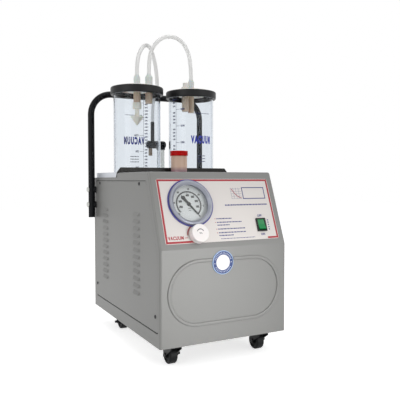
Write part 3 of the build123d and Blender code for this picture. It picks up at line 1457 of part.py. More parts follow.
PARTS = {
    "base_pan": base_pan(),
    "cabinet_shell": cabinet_shell(),
    "side_panel_right": side_panel(),
    "side_panel_left": mirror(side_panel(), Plane.YZ),
    "rear_panel": rear_panel(),
    "panel_screws": Compound(children=panel_screws()),
    "jar_tray": jar_tray(),
    "jar_guard": jar_guard(),
    "control_label": control_label(),
    "front_badge": front_badge(),
    "gauge_case": gauge_case(),
    "gauge_bezel": gauge_bezel(),
    "gauge_dial": gauge_dial(),
    "gauge_glass": gauge_glass(),
    "gauge_pointer": gauge_pointer(),
    "regulator_body": regulator_body(),
    "regulator_needle": regulator_needle(),
    "regulator_knob": regulator_knob(),
    "switch_housing": switch_housing(),
    "switch_rocker": switch_rocker(),
    "handle_tube": handle_tube(),
    "handle_bolts": Compound(children=handle_bolts()),
    "handle_spacers": Compound(children=handle_spacers()),
    "jar_left": jar(-1),
    "jar_right": jar(1),
    "lid_seal_left": lid_seal(-1),
    "lid_seal_right": lid_seal(1),
    "lid_plate_left": lid_plate_left(),
    "lid_plate_right": lid_plate_right(),
    "float_guide": float_guide(),
    "float_valve": float_valve(),
    "hose_link": routed("hose_link", LINK_ROUTE, HOSE_R),
    "hose_pump": routed("hose_pump", PUMP_ROUTE, HOSE_R),
    "rear_manifold": rear_manifold(),
    "riser_tube": riser_tube(),
    "trap_bottle": trap_bottle(),
    "trap_cap": trap_cap(),
    "caster_plates": Compound(children=caster_plates()),
    "motor_plate": motor_plate(),
    "rubber_mounts": Compound(children=rubber_mounts()),
    "motor_housing": motor_housing(),
    "motor_end_bells": Compound(children=motor_end_bells()),
    "motor_rotor": motor_rotor(),
    "pump_body": pump_body(),
    "pump_covers": Compound(children=pump_covers()),
    "pump_rotor": pump_rotor(),
    "pump_vanes": Compound(children=pump_vanes()),
    "suction_pipe": suction_pipe(),
    "exhaust_pipe": exhaust_pipe(),
    "run_capacitor": run_capacitor(),
    "mains_inlet": mains_inlet(),
}
for caster in CASTERS:
    PARTS[f"fork_{caster}"] = caster_fork(caster)
    PARTS[f"wheel_{caster}"] = caster_wheel(caster)

os.makedirs("parts", exist_ok=True)
for node, shape in PARTS.items():
    export_step(shape, f"parts/{node}.step")
print(f"{len(PARTS)} nodes written")
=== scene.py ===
from itertools import cycle
from math import atan2, cos, pi, radians, sin

import bmesh
import bpy
from mathutils import Matrix, Vector


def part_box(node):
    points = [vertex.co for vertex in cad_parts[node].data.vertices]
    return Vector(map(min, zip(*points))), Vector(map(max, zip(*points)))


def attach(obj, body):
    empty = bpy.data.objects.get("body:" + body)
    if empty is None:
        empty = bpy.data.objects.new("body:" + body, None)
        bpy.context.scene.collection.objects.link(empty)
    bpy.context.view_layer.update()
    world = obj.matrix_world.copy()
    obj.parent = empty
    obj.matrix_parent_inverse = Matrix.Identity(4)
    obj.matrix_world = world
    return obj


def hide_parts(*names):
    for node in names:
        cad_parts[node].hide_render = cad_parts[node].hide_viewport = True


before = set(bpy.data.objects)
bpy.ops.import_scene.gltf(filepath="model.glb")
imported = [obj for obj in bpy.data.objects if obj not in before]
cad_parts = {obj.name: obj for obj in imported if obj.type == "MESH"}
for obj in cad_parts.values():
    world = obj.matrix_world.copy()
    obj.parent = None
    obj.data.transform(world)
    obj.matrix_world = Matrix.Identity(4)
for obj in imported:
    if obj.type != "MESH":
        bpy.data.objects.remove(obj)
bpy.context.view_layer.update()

scene = bpy.context.scene
scene.view_settings.view_transform = "Standard"

# Camera: a little left of the machine and just above its hood, the photograph's viewpoint,
# so that the left side, the front and the leaning control panel all show.
CAMERA_PLACE = (-0.590285, -1.240527, 0.405578)
CAMERA_TILT = radians(90 - 2.21)
CAMERA_TURN = radians(-27.56)
CAMERA_LENS_MM = 47.65

camera_data = bpy.data.cameras.new("camera")
camera_data.lens = CAMERA_LENS_MM
camera = bpy.data.objects.new("camera", camera_data)
camera.location = CAMERA_PLACE
camera.rotation_euler = (CAMERA_TILT, 0, CAMERA_TURN)
scene.collection.objects.link(camera)
scene.camera = camera

# Hoses: clear silicone tube, extruded and cut to length, pushed over the lids' nozzles.
# One links the two lids, the other runs from the left lid back to the pump line.
FRONT_Y = -0.2364217
UNDERSIDE = 0.050
HOSE_D = 0.0104


def place(across, depth, height):
    """Point in metres, from millimetres across, behind the cabinet's front, above its underside."""
    return Vector((across / 1000, FRONT_Y + depth / 1000, UNDERSIDE + height / 1000))


def linear(code):
    """Colour for a shader from an sRGB hex code."""
    parts = [int(code[i:i + 2], 16) / 255 for i in (1, 3, 5)]
    return tuple(p / 12.92 if p <= 0.04045 else ((p + 0.055) / 1.055) ** 2.4 for p in parts) + (1.0,)


def add(tree, kind, links=None, **settings):
    """Adds a node with its settings; links holds a value or another node's output per socket."""
    node = tree.nodes.new(kind)
    for name, value in settings.items():
        setattr(node, name, value)
    for socket, value in (links or {}).items():
        if isinstance(value, bpy.types.NodeSocket):
            tree.links.new(value, node.inputs[socket])
        else:
            node.inputs[socket].default_value = value
    return node


def surface(name, light, dark, patch_mm, grain_mm, depth_mm, sockets):
    """Finish whose colour drifts between two shades and whose skin has a fine grain."""
    finish = bpy.data.materials.new(name)
    finish.use_nodes = True
    tree = finish.node_tree
    shader = tree.nodes["Principled BSDF"]
    for socket, value in sockets.items():
        shader.inputs[socket].default_value = value
    spot = add(tree, "ShaderNodeTexCoord").outputs["Object"]
    drift = add(tree, "ShaderNodeTexNoise", {"Vector": spot, "Scale": 1000 / patch_mm, "Detail": 3.0})
    shade = add(tree, "ShaderNodeMix", {0: drift.outputs[0], 6: linear(light), 7: linear(dark)},
                data_type="RGBA")
    tree.links.new(shade.outputs[2], shader.inputs["Base Color"])
    grain = add(tree, "ShaderNodeTexNoise", {"Vector": spot, "Scale": 1000 / grain_mm, "Detail": 2.0})
    bump = add(tree, "ShaderNodeBump", {
        "Strength": 1.0, "Distance": depth_mm / 1000, "Height": grain.outputs[0],
    })
    tree.links.new(bump.outputs["Normal"], shader.inputs["Normal"])
    return finish


def tinted(finish, share, colour):
    """Turns a finish's colour into another where the share is one."""
    tree = finish.node_tree
    base = tree.nodes["Principled BSDF"].inputs["Base Color"]
    mixed = add(tree, "ShaderNodeMix", {0: share, 6: base.links[0].from_socket, 7: colour},
                data_type="RGBA")
    tree.links.new(mixed.outputs[2], base)


def rim_tint(finish, code, blend, reach):
    """Paints shade on a clear finish where it is seen edge on, for its wall being looked through longer
    there and for the darker room refracted at the edge.
    """
    tree = finish.node_tree
    edge = add(tree, "ShaderNodeLayerWeight", {"Blend": blend})
    share = add(tree, "ShaderNodeMapRange", {0: edge.outputs["Facing"], 1: reach, 2: 1.0, 3: 0.0, 4: 1.0})
    tinted(finish, share.outputs[0], linear(code))


# Clear silicone: extruded and faintly milky; the grey at the edge of the tube is painted shade, and its
# middle reads white.
clear_silicone = surface("clear silicone", "#f4f4f3", "#ededec", 40, 3, 0.01, {
    "Roughness": 0.28, "IOR": 1.41, "Transmission Weight": 0.62,
})
rim_tint(clear_silicone, "#b9bab9", 0.35, 0.25)

LINK_ROUTE = [
    place(-46.4, 336.3, 633.5), place(-46.4, 336.3, 668.0), place(-40.0, 336.5, 706.0),
    place(-14.0, 337.5, 739.0), place(20.0, 337.5, 750.0), place(52.0, 337.0, 741.0),
    place(73.5, 336.5, 710.5), place(80.6, 336.3, 668.0), place(80.6, 336.3, 629.5),
]
PUMP_ROUTE = [
    place(-80.6, 336.3, 629.5), place(-80.6, 336.3, 663.0), place(-69.0, 349.0, 698.0),
    place(-43.0, 373.0, 728.0), place(-17.0, 396.0, 728.0), place(2.0, 412.0, 696.0),
    place(13.0, 421.0, 655.0), place(16.0, 427.0, 612.0), place(6.0, 430.0, 566.0),
    place(6.0, 430.0, 523.0),
]


def hose(name, route):
    """Round hose whose centreline is a smooth spline over the route's points."""
    line = bpy.data.curves.new(name, "CURVE")
    line.dimensions = "3D"
    spline = line.splines.new("NURBS")
    spline.points.add(len(route) - 1)
    for point, spot in zip(spline.points, route):
        point.co = (*spot, 1.0)
    spline.order_u = 3
    spline.use_endpoint_u = True
    spline.resolution_u = 16
    line.bevel_depth = HOSE_D / 2
    line.bevel_resolution = 6
    line.use_fill_caps = True
    line.materials.append(clear_silicone)
    piece = bpy.data.objects.new(name, line)
    scene.collection.objects.link(piece)
    return piece


for name, node, route, length in (
    ("link_hose", "hose_link", LINK_ROUTE, 0.299),
    ("pump_hose", "hose_pump", PUMP_ROUTE, 0.366),
):
    piece = hose(name, route)
    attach(piece, "cabinet")
    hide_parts(node)

# Studio: a seamless pale floor and even soft light from three softboxes, with a pool of light
# on the lower front, so the front reads lighter than the left side and the shadow stays faint.
FLOOR_REACH = 6.0
FLOOR_GLOW = 0.66
SKY_LEVEL = 0.50
SOFTBOXES = (
    ("front_softbox", (1.3, -2.2, 1.5), (0, -0.1, 0.25), 1.6, 10),
    ("left_softbox", (-2.4, -0.9, 1.2), (0, 0, 0.3), 1.6, 12),
    ("top_softbox", (0.2, 0.3, 2.6), (0, 0, 0.4), 1.8, 14),
)
POOL_PLACE = (0.5, -1.9, 0.22)
POOL_AIM = (-0.03, -0.236, 0.12)
POOL_POWER = 150
POOL_SPREAD = radians(15)
POOL_SOFTNESS = 0.25


def looked_at(tree):
    """One where the camera, gloss or glass looks, and zero where only light is gathered."""
    ray = add(tree, "ShaderNodeLightPath")
    share = ray.outputs["Is Camera Ray"]
    for kind in ("Is Glossy Ray", "Is Transmission Ray"):
        share = add(tree, "ShaderNodeMath", {0: share, 1: ray.outputs[kind]}, operation="MAXIMUM").outputs[0]
    return share


def aimed(lamp, spot, aim):
    """Hangs a lamp at a spot, turned to a point."""
    holder = bpy.data.objects.new(lamp.name, lamp)
    holder.location = spot
    holder.rotation_euler = (Vector(aim) - Vector(spot)).to_track_quat("-Z", "Y").to_euler()
    scene.collection.objects.link(holder)


floor_mesh = bpy.data.meshes.new("studio_floor")
corners = [(-1, -1), (1, -1), (1, 1), (-1, 1)]
floor_mesh.from_pydata([(x * FLOOR_REACH, y * FLOOR_REACH, 0) for x, y in corners], [], [(0, 1, 2, 3)])
floor = bpy.data.objects.new("studio_floor", floor_mesh)
scene.collection.objects.link(floor)

# Matt white paper: the camera, gloss and glass see its glow, which leaves the object's light alone.
paper = bpy.data.materials.new("matt white paper")
paper.use_nodes = True
tree = paper.node_tree
tree.nodes.clear()
spot = add(tree, "ShaderNodeTexCoord").outputs["Object"]
fibre = add(tree, "ShaderNodeTexNoise", {"Vector": spot, "Scale": 3.0})
white = add(tree, "ShaderNodeMix", {0: fibre.outputs[0], 6: linear("#eeeeee"), 7: linear("#f2f2f2")},
            data_type="RGBA")
matt = add(tree, "ShaderNodeBsdfDiffuse", {"Color": white.outputs[2]})
glow = add(tree, "ShaderNodeEmission", {"Strength": FLOOR_GLOW})
both = add(tree, "ShaderNodeAddShader", {0: matt.outputs[0], 1: glow.outputs[0]})
paper_mix = add(tree, "ShaderNodeMixShader", {0: looked_at(tree), 1: matt.outputs[0], 2: both.outputs[0]})
add(tree, "ShaderNodeOutputMaterial", {"Surface": paper_mix.outputs[0]})
floor_mesh.materials.append(paper)

studio = bpy.data.worlds.new("studio")
studio.use_nodes = True
scene.world = studio
tree = studio.node_tree
tree.nodes.clear()
level = add(tree, "ShaderNodeMapRange", {0: looked_at(tree), 3: SKY_LEVEL, 4: 1.0})
sky = add(tree, "ShaderNodeBackground", {"Color": (1, 1, 1, 1), "Strength": level.outputs[0]})
add(tree, "ShaderNodeOutputWorld", {"Surface": sky.outputs[0]})

for name, spot, aim, size, power in SOFTBOXES:
    lamp = bpy.data.lights.new(name, "AREA")
    lamp.shape = "SQUARE"
    lamp.size = size
    lamp.energy = power
    aimed(lamp, spot, aim)
pool = bpy.data.lights.new("front_pool", "SPOT")
pool.energy = POOL_POWER
pool.spot_size = POOL_SPREAD
pool.spot_blend = 1.0
pool.shadow_soft_size = POOL_SOFTNESS
aimed(pool, POOL_PLACE, POOL_AIM)

# Cabinet: folded steel sheet with a base pan, two side panels and a louvred rear panel.
# Silver-grey powder coat: a smooth semi-gloss skin whose fine orange peel softens the lights.
silver_powder_coat = surface("silver-grey powder coat", "#828280", "#7c7c7a", 160, 1.6, 0.010, {
    "Roughness": 0.42, "Metallic": 0.25, "Specular IOR Level": 0.45,
})


def dress(finish, *nodes):
    """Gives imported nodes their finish."""
    for node in nodes:
        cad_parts[node].material_slots[0].material = finish


dress(silver_powder_coat, "cabinet_shell", "side_panel_left", "side_panel_right", "rear_panel",
      "base_pan")

# Panel gap shadow: a dull black strip in the reveal over and under each side panel, laid on the
# ledge behind it; it is painted shadow, which draws the two dark lines on the cabinet's sides.
SHADOW_STRIP_WIDE = 2.0
SHADOW_STRIP_PROUD = 0.7
SHEET = 1.5
HALF_WIDTH = 160.0
SHADOW_STRIP_LINES = ((353.4, 81.0, 447.0), (31.6, 13.0, 447.0))


def finished(name, mesh, finish, body):
    """Object of a finished mesh, riding on its body."""
    data = bpy.data.meshes.new(name)
    mesh.to_mesh(data)
    mesh.free()
    data.materials.append(finish)
    piece = bpy.data.objects.new(name, data)
    scene.collection.objects.link(piece)
    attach(piece, body)
    return piece


# Closed-cell foam, dull and nearly black: the handle's spacers, and the painted shadow strips in the panel
# gaps.
foam_and_gap_shadow = surface("foam rubber", "#26282a", "#1a1b1d", 12, 0.6, 0.05, {
    "Roughness": 0.85, "Specular IOR Level": 0.2,
})
strips = bmesh.new()
for side in (-1, 1):
    for height, start, end in SHADOW_STRIP_LINES:
        inner, outer = sorted((side * (HALF_WIDTH - SHEET), side * (HALF_WIDTH - SHEET + SHADOW_STRIP_PROUD)))
        low = place(inner, start, height - SHADOW_STRIP_WIDE / 2)
        high = place(outer, end, height + SHADOW_STRIP_WIDE / 2)
        reach = Matrix.Translation((low + high) / 2) @ Matrix.Diagonal((*(high - low), 1.0))
        bmesh.ops.create_cube(strips, size=1.0, matrix=reach)
finished("panel_gaskets", strips, foam_and_gap_shadow, "cabinet")

# Screws: pan heads with a cross recess, black zinc plated, holding the side and rear panels.
# One head is modelled and set at each of the places by a geometry tree.
SCREW_HEAD_R = 4.0
SCREW_HEAD_H = 2.2
SCREW_SHANK_R = 1.9
SCREW_SHANK_L = 8.0
RECESS_ARM = 2.2
RECESS_WIDE = 0.9
RECESS_DEEP = 1.2
DOME_EDGE = 0.35
CABINET_DEPTH = 468.0
BAY_HEIGHT = 361.0
REAR_SCREW_X = 151.5
SIDE_SCREWS = ((25.0, 65.0), (442.0, 65.0), (117.0, 346.0), (414.0, 346.0))
REAR_SCREWS = (BAY_HEIGHT / 12, BAY_HEIGHT / 2, BAY_HEIGHT - 14.0)
SCREW_SEED = 3

# Black zinc: passivated plating, a dark metal with a satin shine.
black_zinc = surface("black zinc plating", "#4a4a4b", "#38393b", 6, 0.5, 0.01, {
    "Roughness": 0.38, "Metallic": 0.8,
})


def lathe(outline, segments):
    """Closed shape turned round Z from an outline of (radius, height) in millimetres."""
    mesh = bmesh.new()
    verts = [mesh.verts.new((radius / 1000, 0, height / 1000)) for radius, height in outline]
    edges = [mesh.edges.new(pair) for pair in zip(verts, verts[1:])]
    bmesh.ops.spin(mesh, geom=verts + edges, cent=(0, 0, 0), axis=(0, 0, 1), angle=2 * pi,
                   steps=segments)
    bmesh.ops.remove_doubles(mesh, verts=mesh.verts[:], dist=1e-7)
    bmesh.ops.recalc_face_normals(mesh, faces=mesh.faces[:])
    return mesh


def held(name, mesh):
    """Loose object of a mesh, for a modifier to work on."""
    data = bpy.data.meshes.new(name)
    mesh.to_mesh(data)
    mesh.free()
    part = bpy.data.objects.new(name, data)
    scene.collection.objects.link(part)
    return part


def settled(part):
    """Mesh of an object with its modifiers applied; the object itself goes."""
    bpy.context.view_layer.update()
    graph = bpy.context.evaluated_depsgraph_get()
    data = bpy.data.meshes.new_from_object(part.evaluated_get(graph))
    bpy.data.objects.remove(part)
    mesh = bmesh.new()
    mesh.from_mesh(data)
    return mesh


def screw_head():
    """Pan head with a cross recess and a short shank, its seat at the origin, facing +Z."""
    turns = [i * pi / 10 for i in range(5)]
    dome = [(SCREW_HEAD_R * cos(turn), SCREW_HEAD_H * (DOME_EDGE + (1 - DOME_EDGE) * sin(turn)))
            for turn in turns]
    outline = [(0, -SCREW_SHANK_L), (SCREW_SHANK_R, -SCREW_SHANK_L), (SCREW_SHANK_R, 0),
               (SCREW_HEAD_R, 0)] + dome + [(0, SCREW_HEAD_H)]
    cross = bmesh.new()
    for across, along in ((RECESS_ARM, RECESS_WIDE / 2), (RECESS_WIDE / 2, RECESS_ARM)):
        size = Matrix.Diagonal((2 * across / 1000, 2 * along / 1000, 2 * RECESS_DEEP / 1000, 1.0))
        top = Matrix.Translation((0, 0, SCREW_HEAD_H / 1000))
        bmesh.ops.create_cube(cross, size=1.0, matrix=top @ size)
    blank = held("screw_head", lathe(outline, 20))
    recess = held("screw_recess", cross)
    cut = blank.modifiers.new("recess", "BOOLEAN")
    cut.object = recess
    cut.use_self = True
    head = settled(blank)
    bpy.data.objects.remove(recess)
    return head


def new_tree(name, inputs):
    """Geometry tree with named inputs, each a (name, socket type) pair."""
    group = bpy.data.node_groups.new(name, "GeometryNodeTree")
    group.interface.new_socket("Geometry", in_out="INPUT", socket_type="NodeSocketGeometry")
    group.interface.new_socket("Geometry", in_out="OUTPUT", socket_type="NodeSocketGeometry")
    for title, kind in inputs:
        group.interface.new_socket(title, in_out="INPUT", socket_type=kind)
    return group, add(group, "NodeGroupInput")


def end_tree(group, instances, finish):
    """Realises the instances, gives them their finish and ends the tree."""
    real = add(group, "GeometryNodeRealizeInstances", {"Geometry": instances})
    dressed = add(group, "GeometryNodeSetMaterial", {"Geometry": real.outputs[0], "Material": finish})
    add(group, "NodeGroupOutput", {"Geometry": dressed.outputs[0]})


def grown(start, group, values):
    """Mesh that a tree grows on a start mesh, with its named inputs set."""
    part = held(group.name, start)
    growth = part.modifiers.new("growth", "NODES")
    growth.node_group = group
    for item in group.interface.items_tree:
        if item.in_out == "INPUT" and item.name in values:
            growth[item.identifier] = values[item.name]
    return settled(part)


# Screw tree: sets one head on each point, faced along the point's normal and turned at random.
screw_tree, given = new_tree("screws", (
    ("Head", "NodeSocketObject"), ("Seed", "NodeSocketInt"), ("Finish", "NodeSocketMaterial"),
))
head_shape = add(screw_tree, "GeometryNodeObjectInfo", {"Object": given.outputs["Head"]})
facing = add(screw_tree, "GeometryNodeInputNamedAttribute", {"Name": "facing"},
             data_type="FLOAT_VECTOR")
turned = add(screw_tree, "FunctionNodeAlignRotationToVector", {"Vector": facing.outputs[0]}, axis="Z")
heads = add(screw_tree, "GeometryNodeInstanceOnPoints", {
    "Points": given.outputs["Geometry"], "Instance": head_shape.outputs["Geometry"],
    "Rotation": turned.outputs[0],
})
spin = add(screw_tree, "FunctionNodeRandomValue", {"Seed": given.outputs["Seed"], 3: pi},
           data_type="FLOAT")
spin_axis = add(screw_tree, "ShaderNodeCombineXYZ", {"Z": spin.outputs[1]})
heads = add(screw_tree, "GeometryNodeRotateInstances", {
    "Instances": heads.outputs[0], "Rotation": spin_axis.outputs[0],
})
end_tree(screw_tree, heads.outputs[0], given.outputs["Finish"])

seats = [(place(side * HALF_WIDTH, depth, height), (side, 0, 0))
         for side in (-1, 1) for depth, height in SIDE_SCREWS]
seats += [(place(side * REAR_SCREW_X, CABINET_DEPTH, height), (0, 1, 0))
          for side in (-1, 1) for height in REAR_SCREWS]
points = bmesh.new()
facing_layer = points.verts.layers.float_vector.new("facing")
for seat, outward in seats:
    points.verts.new(seat)[facing_layer] = outward
screw = held("screw", screw_head())
screws = grown(points, screw_tree, {"Head": screw, "Seed": SCREW_SEED, "Finish": black_zinc})
bpy.data.objects.remove(screw)
piece = finished("cross_head_screws", screws, black_zinc, "cabinet")
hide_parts("panel_screws")

# Handle: one steel tube bent to a U, powder coated black, held off the cabinet's sides by
# saddle washers and two dome-headed bolts a side.
# Black powder coat: semi-gloss, its orange peel breaks up the highlight along the tube.
black_powder_coat = surface("black powder coat", "#121417", "#0e0f12", 60, 1.4, 0.015, {
    "Roughness": 0.3, "Specular IOR Level": 0.14,
})
dress(black_powder_coat, "handle_tube")
# Bright zinc: plated and passivated clear, so the domed bolt heads are pale beside the tube.
bright_zinc = surface("bright zinc plating", "#c9cac6", "#b4b5b0", 8, 0.5, 0.008, {
    "Metallic": 0.8, "Roughness": 0.3,
})
dress(bright_zinc, "handle_bolts")
dress(foam_and_gap_shadow, "handle_spacers")

# Jar tray: pressed stainless steel, whose bright rim shows at the left. The guard in front of it
# is black painted steel with clipped corners.
# Brushed stainless: half metallic and soft; its pale blue-grey base colour is a painted reflection of the
# bright studio.
brushed_stainless = surface("brushed stainless steel", "#e2e6ec", "#d8dce4", 30, 0.5, 0.003, {
    "Metallic": 0.35, "Roughness": 0.34,
})
dress(brushed_stainless, "jar_tray")
# Satin black enamel: brushed on and worn a little brown, so it is lighter than the rubber.
black_enamel = surface("satin black enamel", "#2b2a28", "#232220", 18, 1.0, 0.012, {
    "Roughness": 0.36, "Specular IOR Level": 0.2,
})
dress(black_enamel, "jar_guard")

# Jars: injection-moulded polycarbonate, rounded at the foot, whose rims sit up inside the lids.
# Clear polycarbonate: a faint cold cast, with a grey-blue painted shade that deepens at the edges,
# where the wall is seen lengthwise; its low IOR keeps what stands behind the jars in its place.
JAR_RADIUS = 62.5
JAR_X = 80.6
JAR_DEPTH = 336.3
JAR_WALL = 3.0
JAR_INSIDE_FLOOR = 366.5
JAR_BORE_AREA = pi * (JAR_RADIUS - JAR_WALL) ** 2

clear_polycarbonate = surface("clear polycarbonate", "#f0f3f6", "#ebeff3", 90, 8, 0.006, {
    "Roughness": 0.03, "IOR": 1.22, "Transmission Weight": 1.0,
})
rim_tint(clear_polycarbonate, "#9aa6b8", 0.5, 0.55)
dress(clear_polycarbonate, "jar_left", "jar_right")

# Jar prints: screen-printed scale, numbers and one plain word on each jar. The left jar is
# turned round, so its print is on the far wall and shows through both walls, back to front.
INK_THICK = 0.12
INK_LIFT = 0.02
LONGEST_RUN = 2.5
DASHES = (3.4, 2.0, 4.6, 1.6, 5.2, 2.8)
DASH_GAP = 0.9
SCALE_LOW = 150
SCALE_TOP = 2350
SCALE_LINE = 0.45
SHORT_MARK = 2.6
LONG_MARK = 12.0
SMALL_DIGITS = 6.0
LARGE_DIGITS = 7.4
WORD_HEIGHT = 463.0
WORD_TALL = 26.0
UPPER_PRINT = 535
LOWER_PRINT = 420
PRINT_PITCH = 7.5

# Blue ink: opaque pad-print ink, slightly satin, thin enough to follow the wall.
blue_ink = surface("blue screen ink", "#2433b4", "#1d2ba4", 9, 0.5, 0.003, {"Roughness": 0.5})
# Slate ink: the same ink in the darker shade of the scale.
slate_ink = surface("slate screen ink", "#242e66", "#1d2658", 9, 0.5, 0.003, {"Roughness": 0.5})


def letters(ink, words, size, x, y, align="CENTER", bold=0.0, squeeze=1.0, gap=1.0):
    """Adds words to flat ink, in millimetres, with their middle height at y."""
    text = bpy.data.curves.new("letters", "FONT")
    text.body = words
    text.size = size
    text.align_x = align
    text.align_y = "CENTER"
    text.extrude = INK_THICK / 2
    text.offset = bold
    text.space_character = gap
    text.resolution_u = 3
    part = bpy.data.objects.new("letters", text)
    scene.collection.objects.link(part)
    shapes = settled(part)
    for vert in shapes.verts:
        vert.co = (x + vert.co.x * squeeze, y + vert.co.y, vert.co.z)
    join(ink, shapes)


def join(ink, shapes):
    """Moves one mesh's shapes into another."""
    data = bpy.data.meshes.new("joined")
    shapes.to_mesh(data)
    shapes.free()
    ink.from_mesh(data)
    bpy.data.meshes.remove(data)


def bar(ink, x0, y0, x1, y1):
    """Adds a flat bar to the ink, from its corners in millimetres."""
    size = Matrix.Diagonal((x1 - x0, y1 - y0, INK_THICK, 1.0))
    middle = Matrix.Translation(((x0 + x1) / 2, (y0 + y1) / 2, 0))
    bmesh.ops.create_cube(ink, size=1.0, matrix=middle @ size)


def small_print(ink, x0, x1, y, tall):
    """Adds a line of plain dashes that stands for small print."""
    for long in cycle(DASHES):
        if x0 >= x1 - long:
            break
        bar(ink, x0, y - tall / 2, x0 + long, y + tall / 2)
        x0 += long + DASH_GAP


def wrapped(ink, centre, angle):
    """Bends flat ink round a jar: x runs round the wall to the right, y is height in the bay."""
    bmesh.ops.remove_doubles(ink, verts=ink.verts[:], dist=1e-4)
    for _ in range(4):
        long = [edge for edge in ink.edges if edge.calc_length() > LONGEST_RUN]
        if long:
            bmesh.ops.subdivide_edges(ink, edges=long, cuts=1)
    bmesh.ops.triangulate(ink, faces=[face for face in ink.faces if len(face.verts) > 4])
    for vert in ink.verts:
        turn = angle + vert.co.x / JAR_RADIUS
        reach = (JAR_RADIUS + INK_LIFT + INK_THICK / 2 + vert.co.z) / 1000
        vert.co = (centre.x + reach * cos(turn), centre.y + reach * sin(turn),
                   UNDERSIDE + vert.co.y / 1000)
    bmesh.ops.recalc_face_normals(ink, faces=ink.faces[:])
    return ink


def level_of(volume):
    """Height of the liquid in a jar above the cabinet's underside, for a volume in millilitres."""
    return JAR_INSIDE_FLOOR + volume * 1000 / JAR_BORE_AREA


def scale_print(volumes):
    """Scale of a jar: upright line, a number every 100 ml, a long mark at the main volumes."""
    ink = bmesh.new()
    bar(ink, -SCALE_LINE, level_of(SCALE_LOW), SCALE_LINE, level_of(SCALE_TOP))
    for volume in range(SCALE_LOW + 50, SCALE_TOP, 100):
        if volume not in volumes:
            bar(ink, -SHORT_MARK, level_of(volume) - 0.4, 0, level_of(volume) + 0.4)
            letters(ink, str(volume), SMALL_DIGITS, -SHORT_MARK - 1.4, level_of(volume), "RIGHT", 0.25, 0.8)
    for volume in volumes:
        bar(ink, 0, level_of(volume) - SCALE_LINE, LONG_MARK, level_of(volume) + SCALE_LINE)
        letters(ink, str(volume), LARGE_DIGITS, LONG_MARK + 2, level_of(volume), "LEFT", 0.3, 0.85)
    return ink


for name, side, scale_turn, word_turn, volumes in (
    ("left", -1, 52, 78, (250, 750, 1250, 1750, 2250)),
    ("right", 1, -157, -88, (500, 1000, 1500, 2000)),
):
    centre = place(side * JAR_X, JAR_DEPTH, 0)
    scale = wrapped(scale_print(volumes), centre, radians(scale_turn))
    finished(f"scale_{name}_jar", scale, slate_ink, "cabinet")
    word = bmesh.new()
    letters(word, "VACUUM", WORD_TALL, 0, WORD_HEIGHT, bold=1.9, squeeze=0.46, gap=1.34)
    word = wrapped(word, centre, radians(word_turn))
    finished(f"word_{name}_jar", word, blue_ink, "cabinet")
    small = bmesh.new()
    small_print(small, -24, 26, UPPER_PRINT, 1.5)
    for row in range(3):
        small_print(small, -14, 14, LOWER_PRINT - row * PRINT_PITCH, 2.2)
    small = wrapped(small, centre, radians(word_turn))
    finished(f"small_print_{name}_jar", small, slate_ink, "cabinet")

# Lids: a black rubber ring stretched over each jar's rim round a stiff moulded plate with the
# nozzles on top and the stems inside.
RIM_HEIGHT = 593.0
PLATE_R = 44.0
PLUG_R = 59.0
SEAT_R = 62.8
SKIRT_R = 68.6
LID_R = 70.1
SKIRT_DEEP = 13.0
LIP_R = 3.0
LID_TOP_Z = 0.6496

# Moulded rubber: black with a soft sheen, so the lid's rounded lip shows as a dark grey band.
moulded_rubber = surface("moulded black rubber", "#191a1b", "#131415", 30, 1.1, 0.02, {
    "Roughness": 0.4, "Specular IOR Level": 0.25,
})
lip = [(LID_R - LIP_R * (1 - sin(turn)), RIM_HEIGHT + 3.5 + LIP_R * cos(turn))
       for turn in (pi / 2, 1.05, 0.5, 0)]
rubber_outline = [
    (PLATE_R, RIM_HEIGHT - 1.5), (PLUG_R - 6, RIM_HEIGHT - 1.5), (PLUG_R - 4.5, RIM_HEIGHT - 7),
    (PLUG_R, RIM_HEIGHT - 7), (PLUG_R + 0.2, RIM_HEIGHT), (SEAT_R, RIM_HEIGHT),
    (SEAT_R, RIM_HEIGHT - SKIRT_DEEP), (SKIRT_R, RIM_HEIGHT - SKIRT_DEEP),
    (SKIRT_R + 0.9, RIM_HEIGHT - SKIRT_DEEP + 1), (LID_R, RIM_HEIGHT - SKIRT_DEEP + 4),
    *lip, (PLATE_R, RIM_HEIGHT + 6.5), (PLATE_R, RIM_HEIGHT - 1.5),
]
for name, side in (("left", -1), ("right", 1)):
    rubber = lathe(rubber_outline, 96)
    bmesh.ops.translate(rubber, verts=rubber.verts[:], vec=place(side * JAR_X, JAR_DEPTH, 0))
    piece = finished(f"rubber_lid_{name}", rubber, moulded_rubber, "cabinet")
    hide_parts(f"lid_seal_{name}")

# Nylon: ivory where the light reaches it; below the plate's top, inside the jar, tan that is painted shade.
ivory_nylon = surface("moulded nylon", "#eeede8", "#e6e4dc", 14, 0.7, 0.01, {
    "Roughness": 0.38, "Subsurface Weight": 0.1, "Subsurface Scale": 0.002,
})
tree = ivory_nylon.node_tree
spot = add(tree, "ShaderNodeTexCoord").outputs["Object"]
height = add(tree, "ShaderNodeSeparateXYZ", {0: spot}).outputs["Z"]
under = add(tree, "ShaderNodeMath", {0: height, 1: LID_TOP_Z}, operation="LESS_THAN")
streaks = add(tree, "ShaderNodeTexNoise", {"Vector": spot, "Scale": 90.0})
painted_shade_tan = add(tree, "ShaderNodeMix", {0: streaks.outputs[0], 6: linear("#d6bfa6"), 7: linear("#c0a88f")},
           data_type="RGBA")
tinted(ivory_nylon, under.outputs[0], painted_shade_tan.outputs[2])
dress(ivory_nylon, "lid_plate_left", "lid_plate_right")

# Clamp discs: pale polypropylene washers, turned and pushed up under the plates round the
# stems, so a light disc is seen under each lid from below.
DISC_FOOT = 588.0
DISC_TOP = 590.9
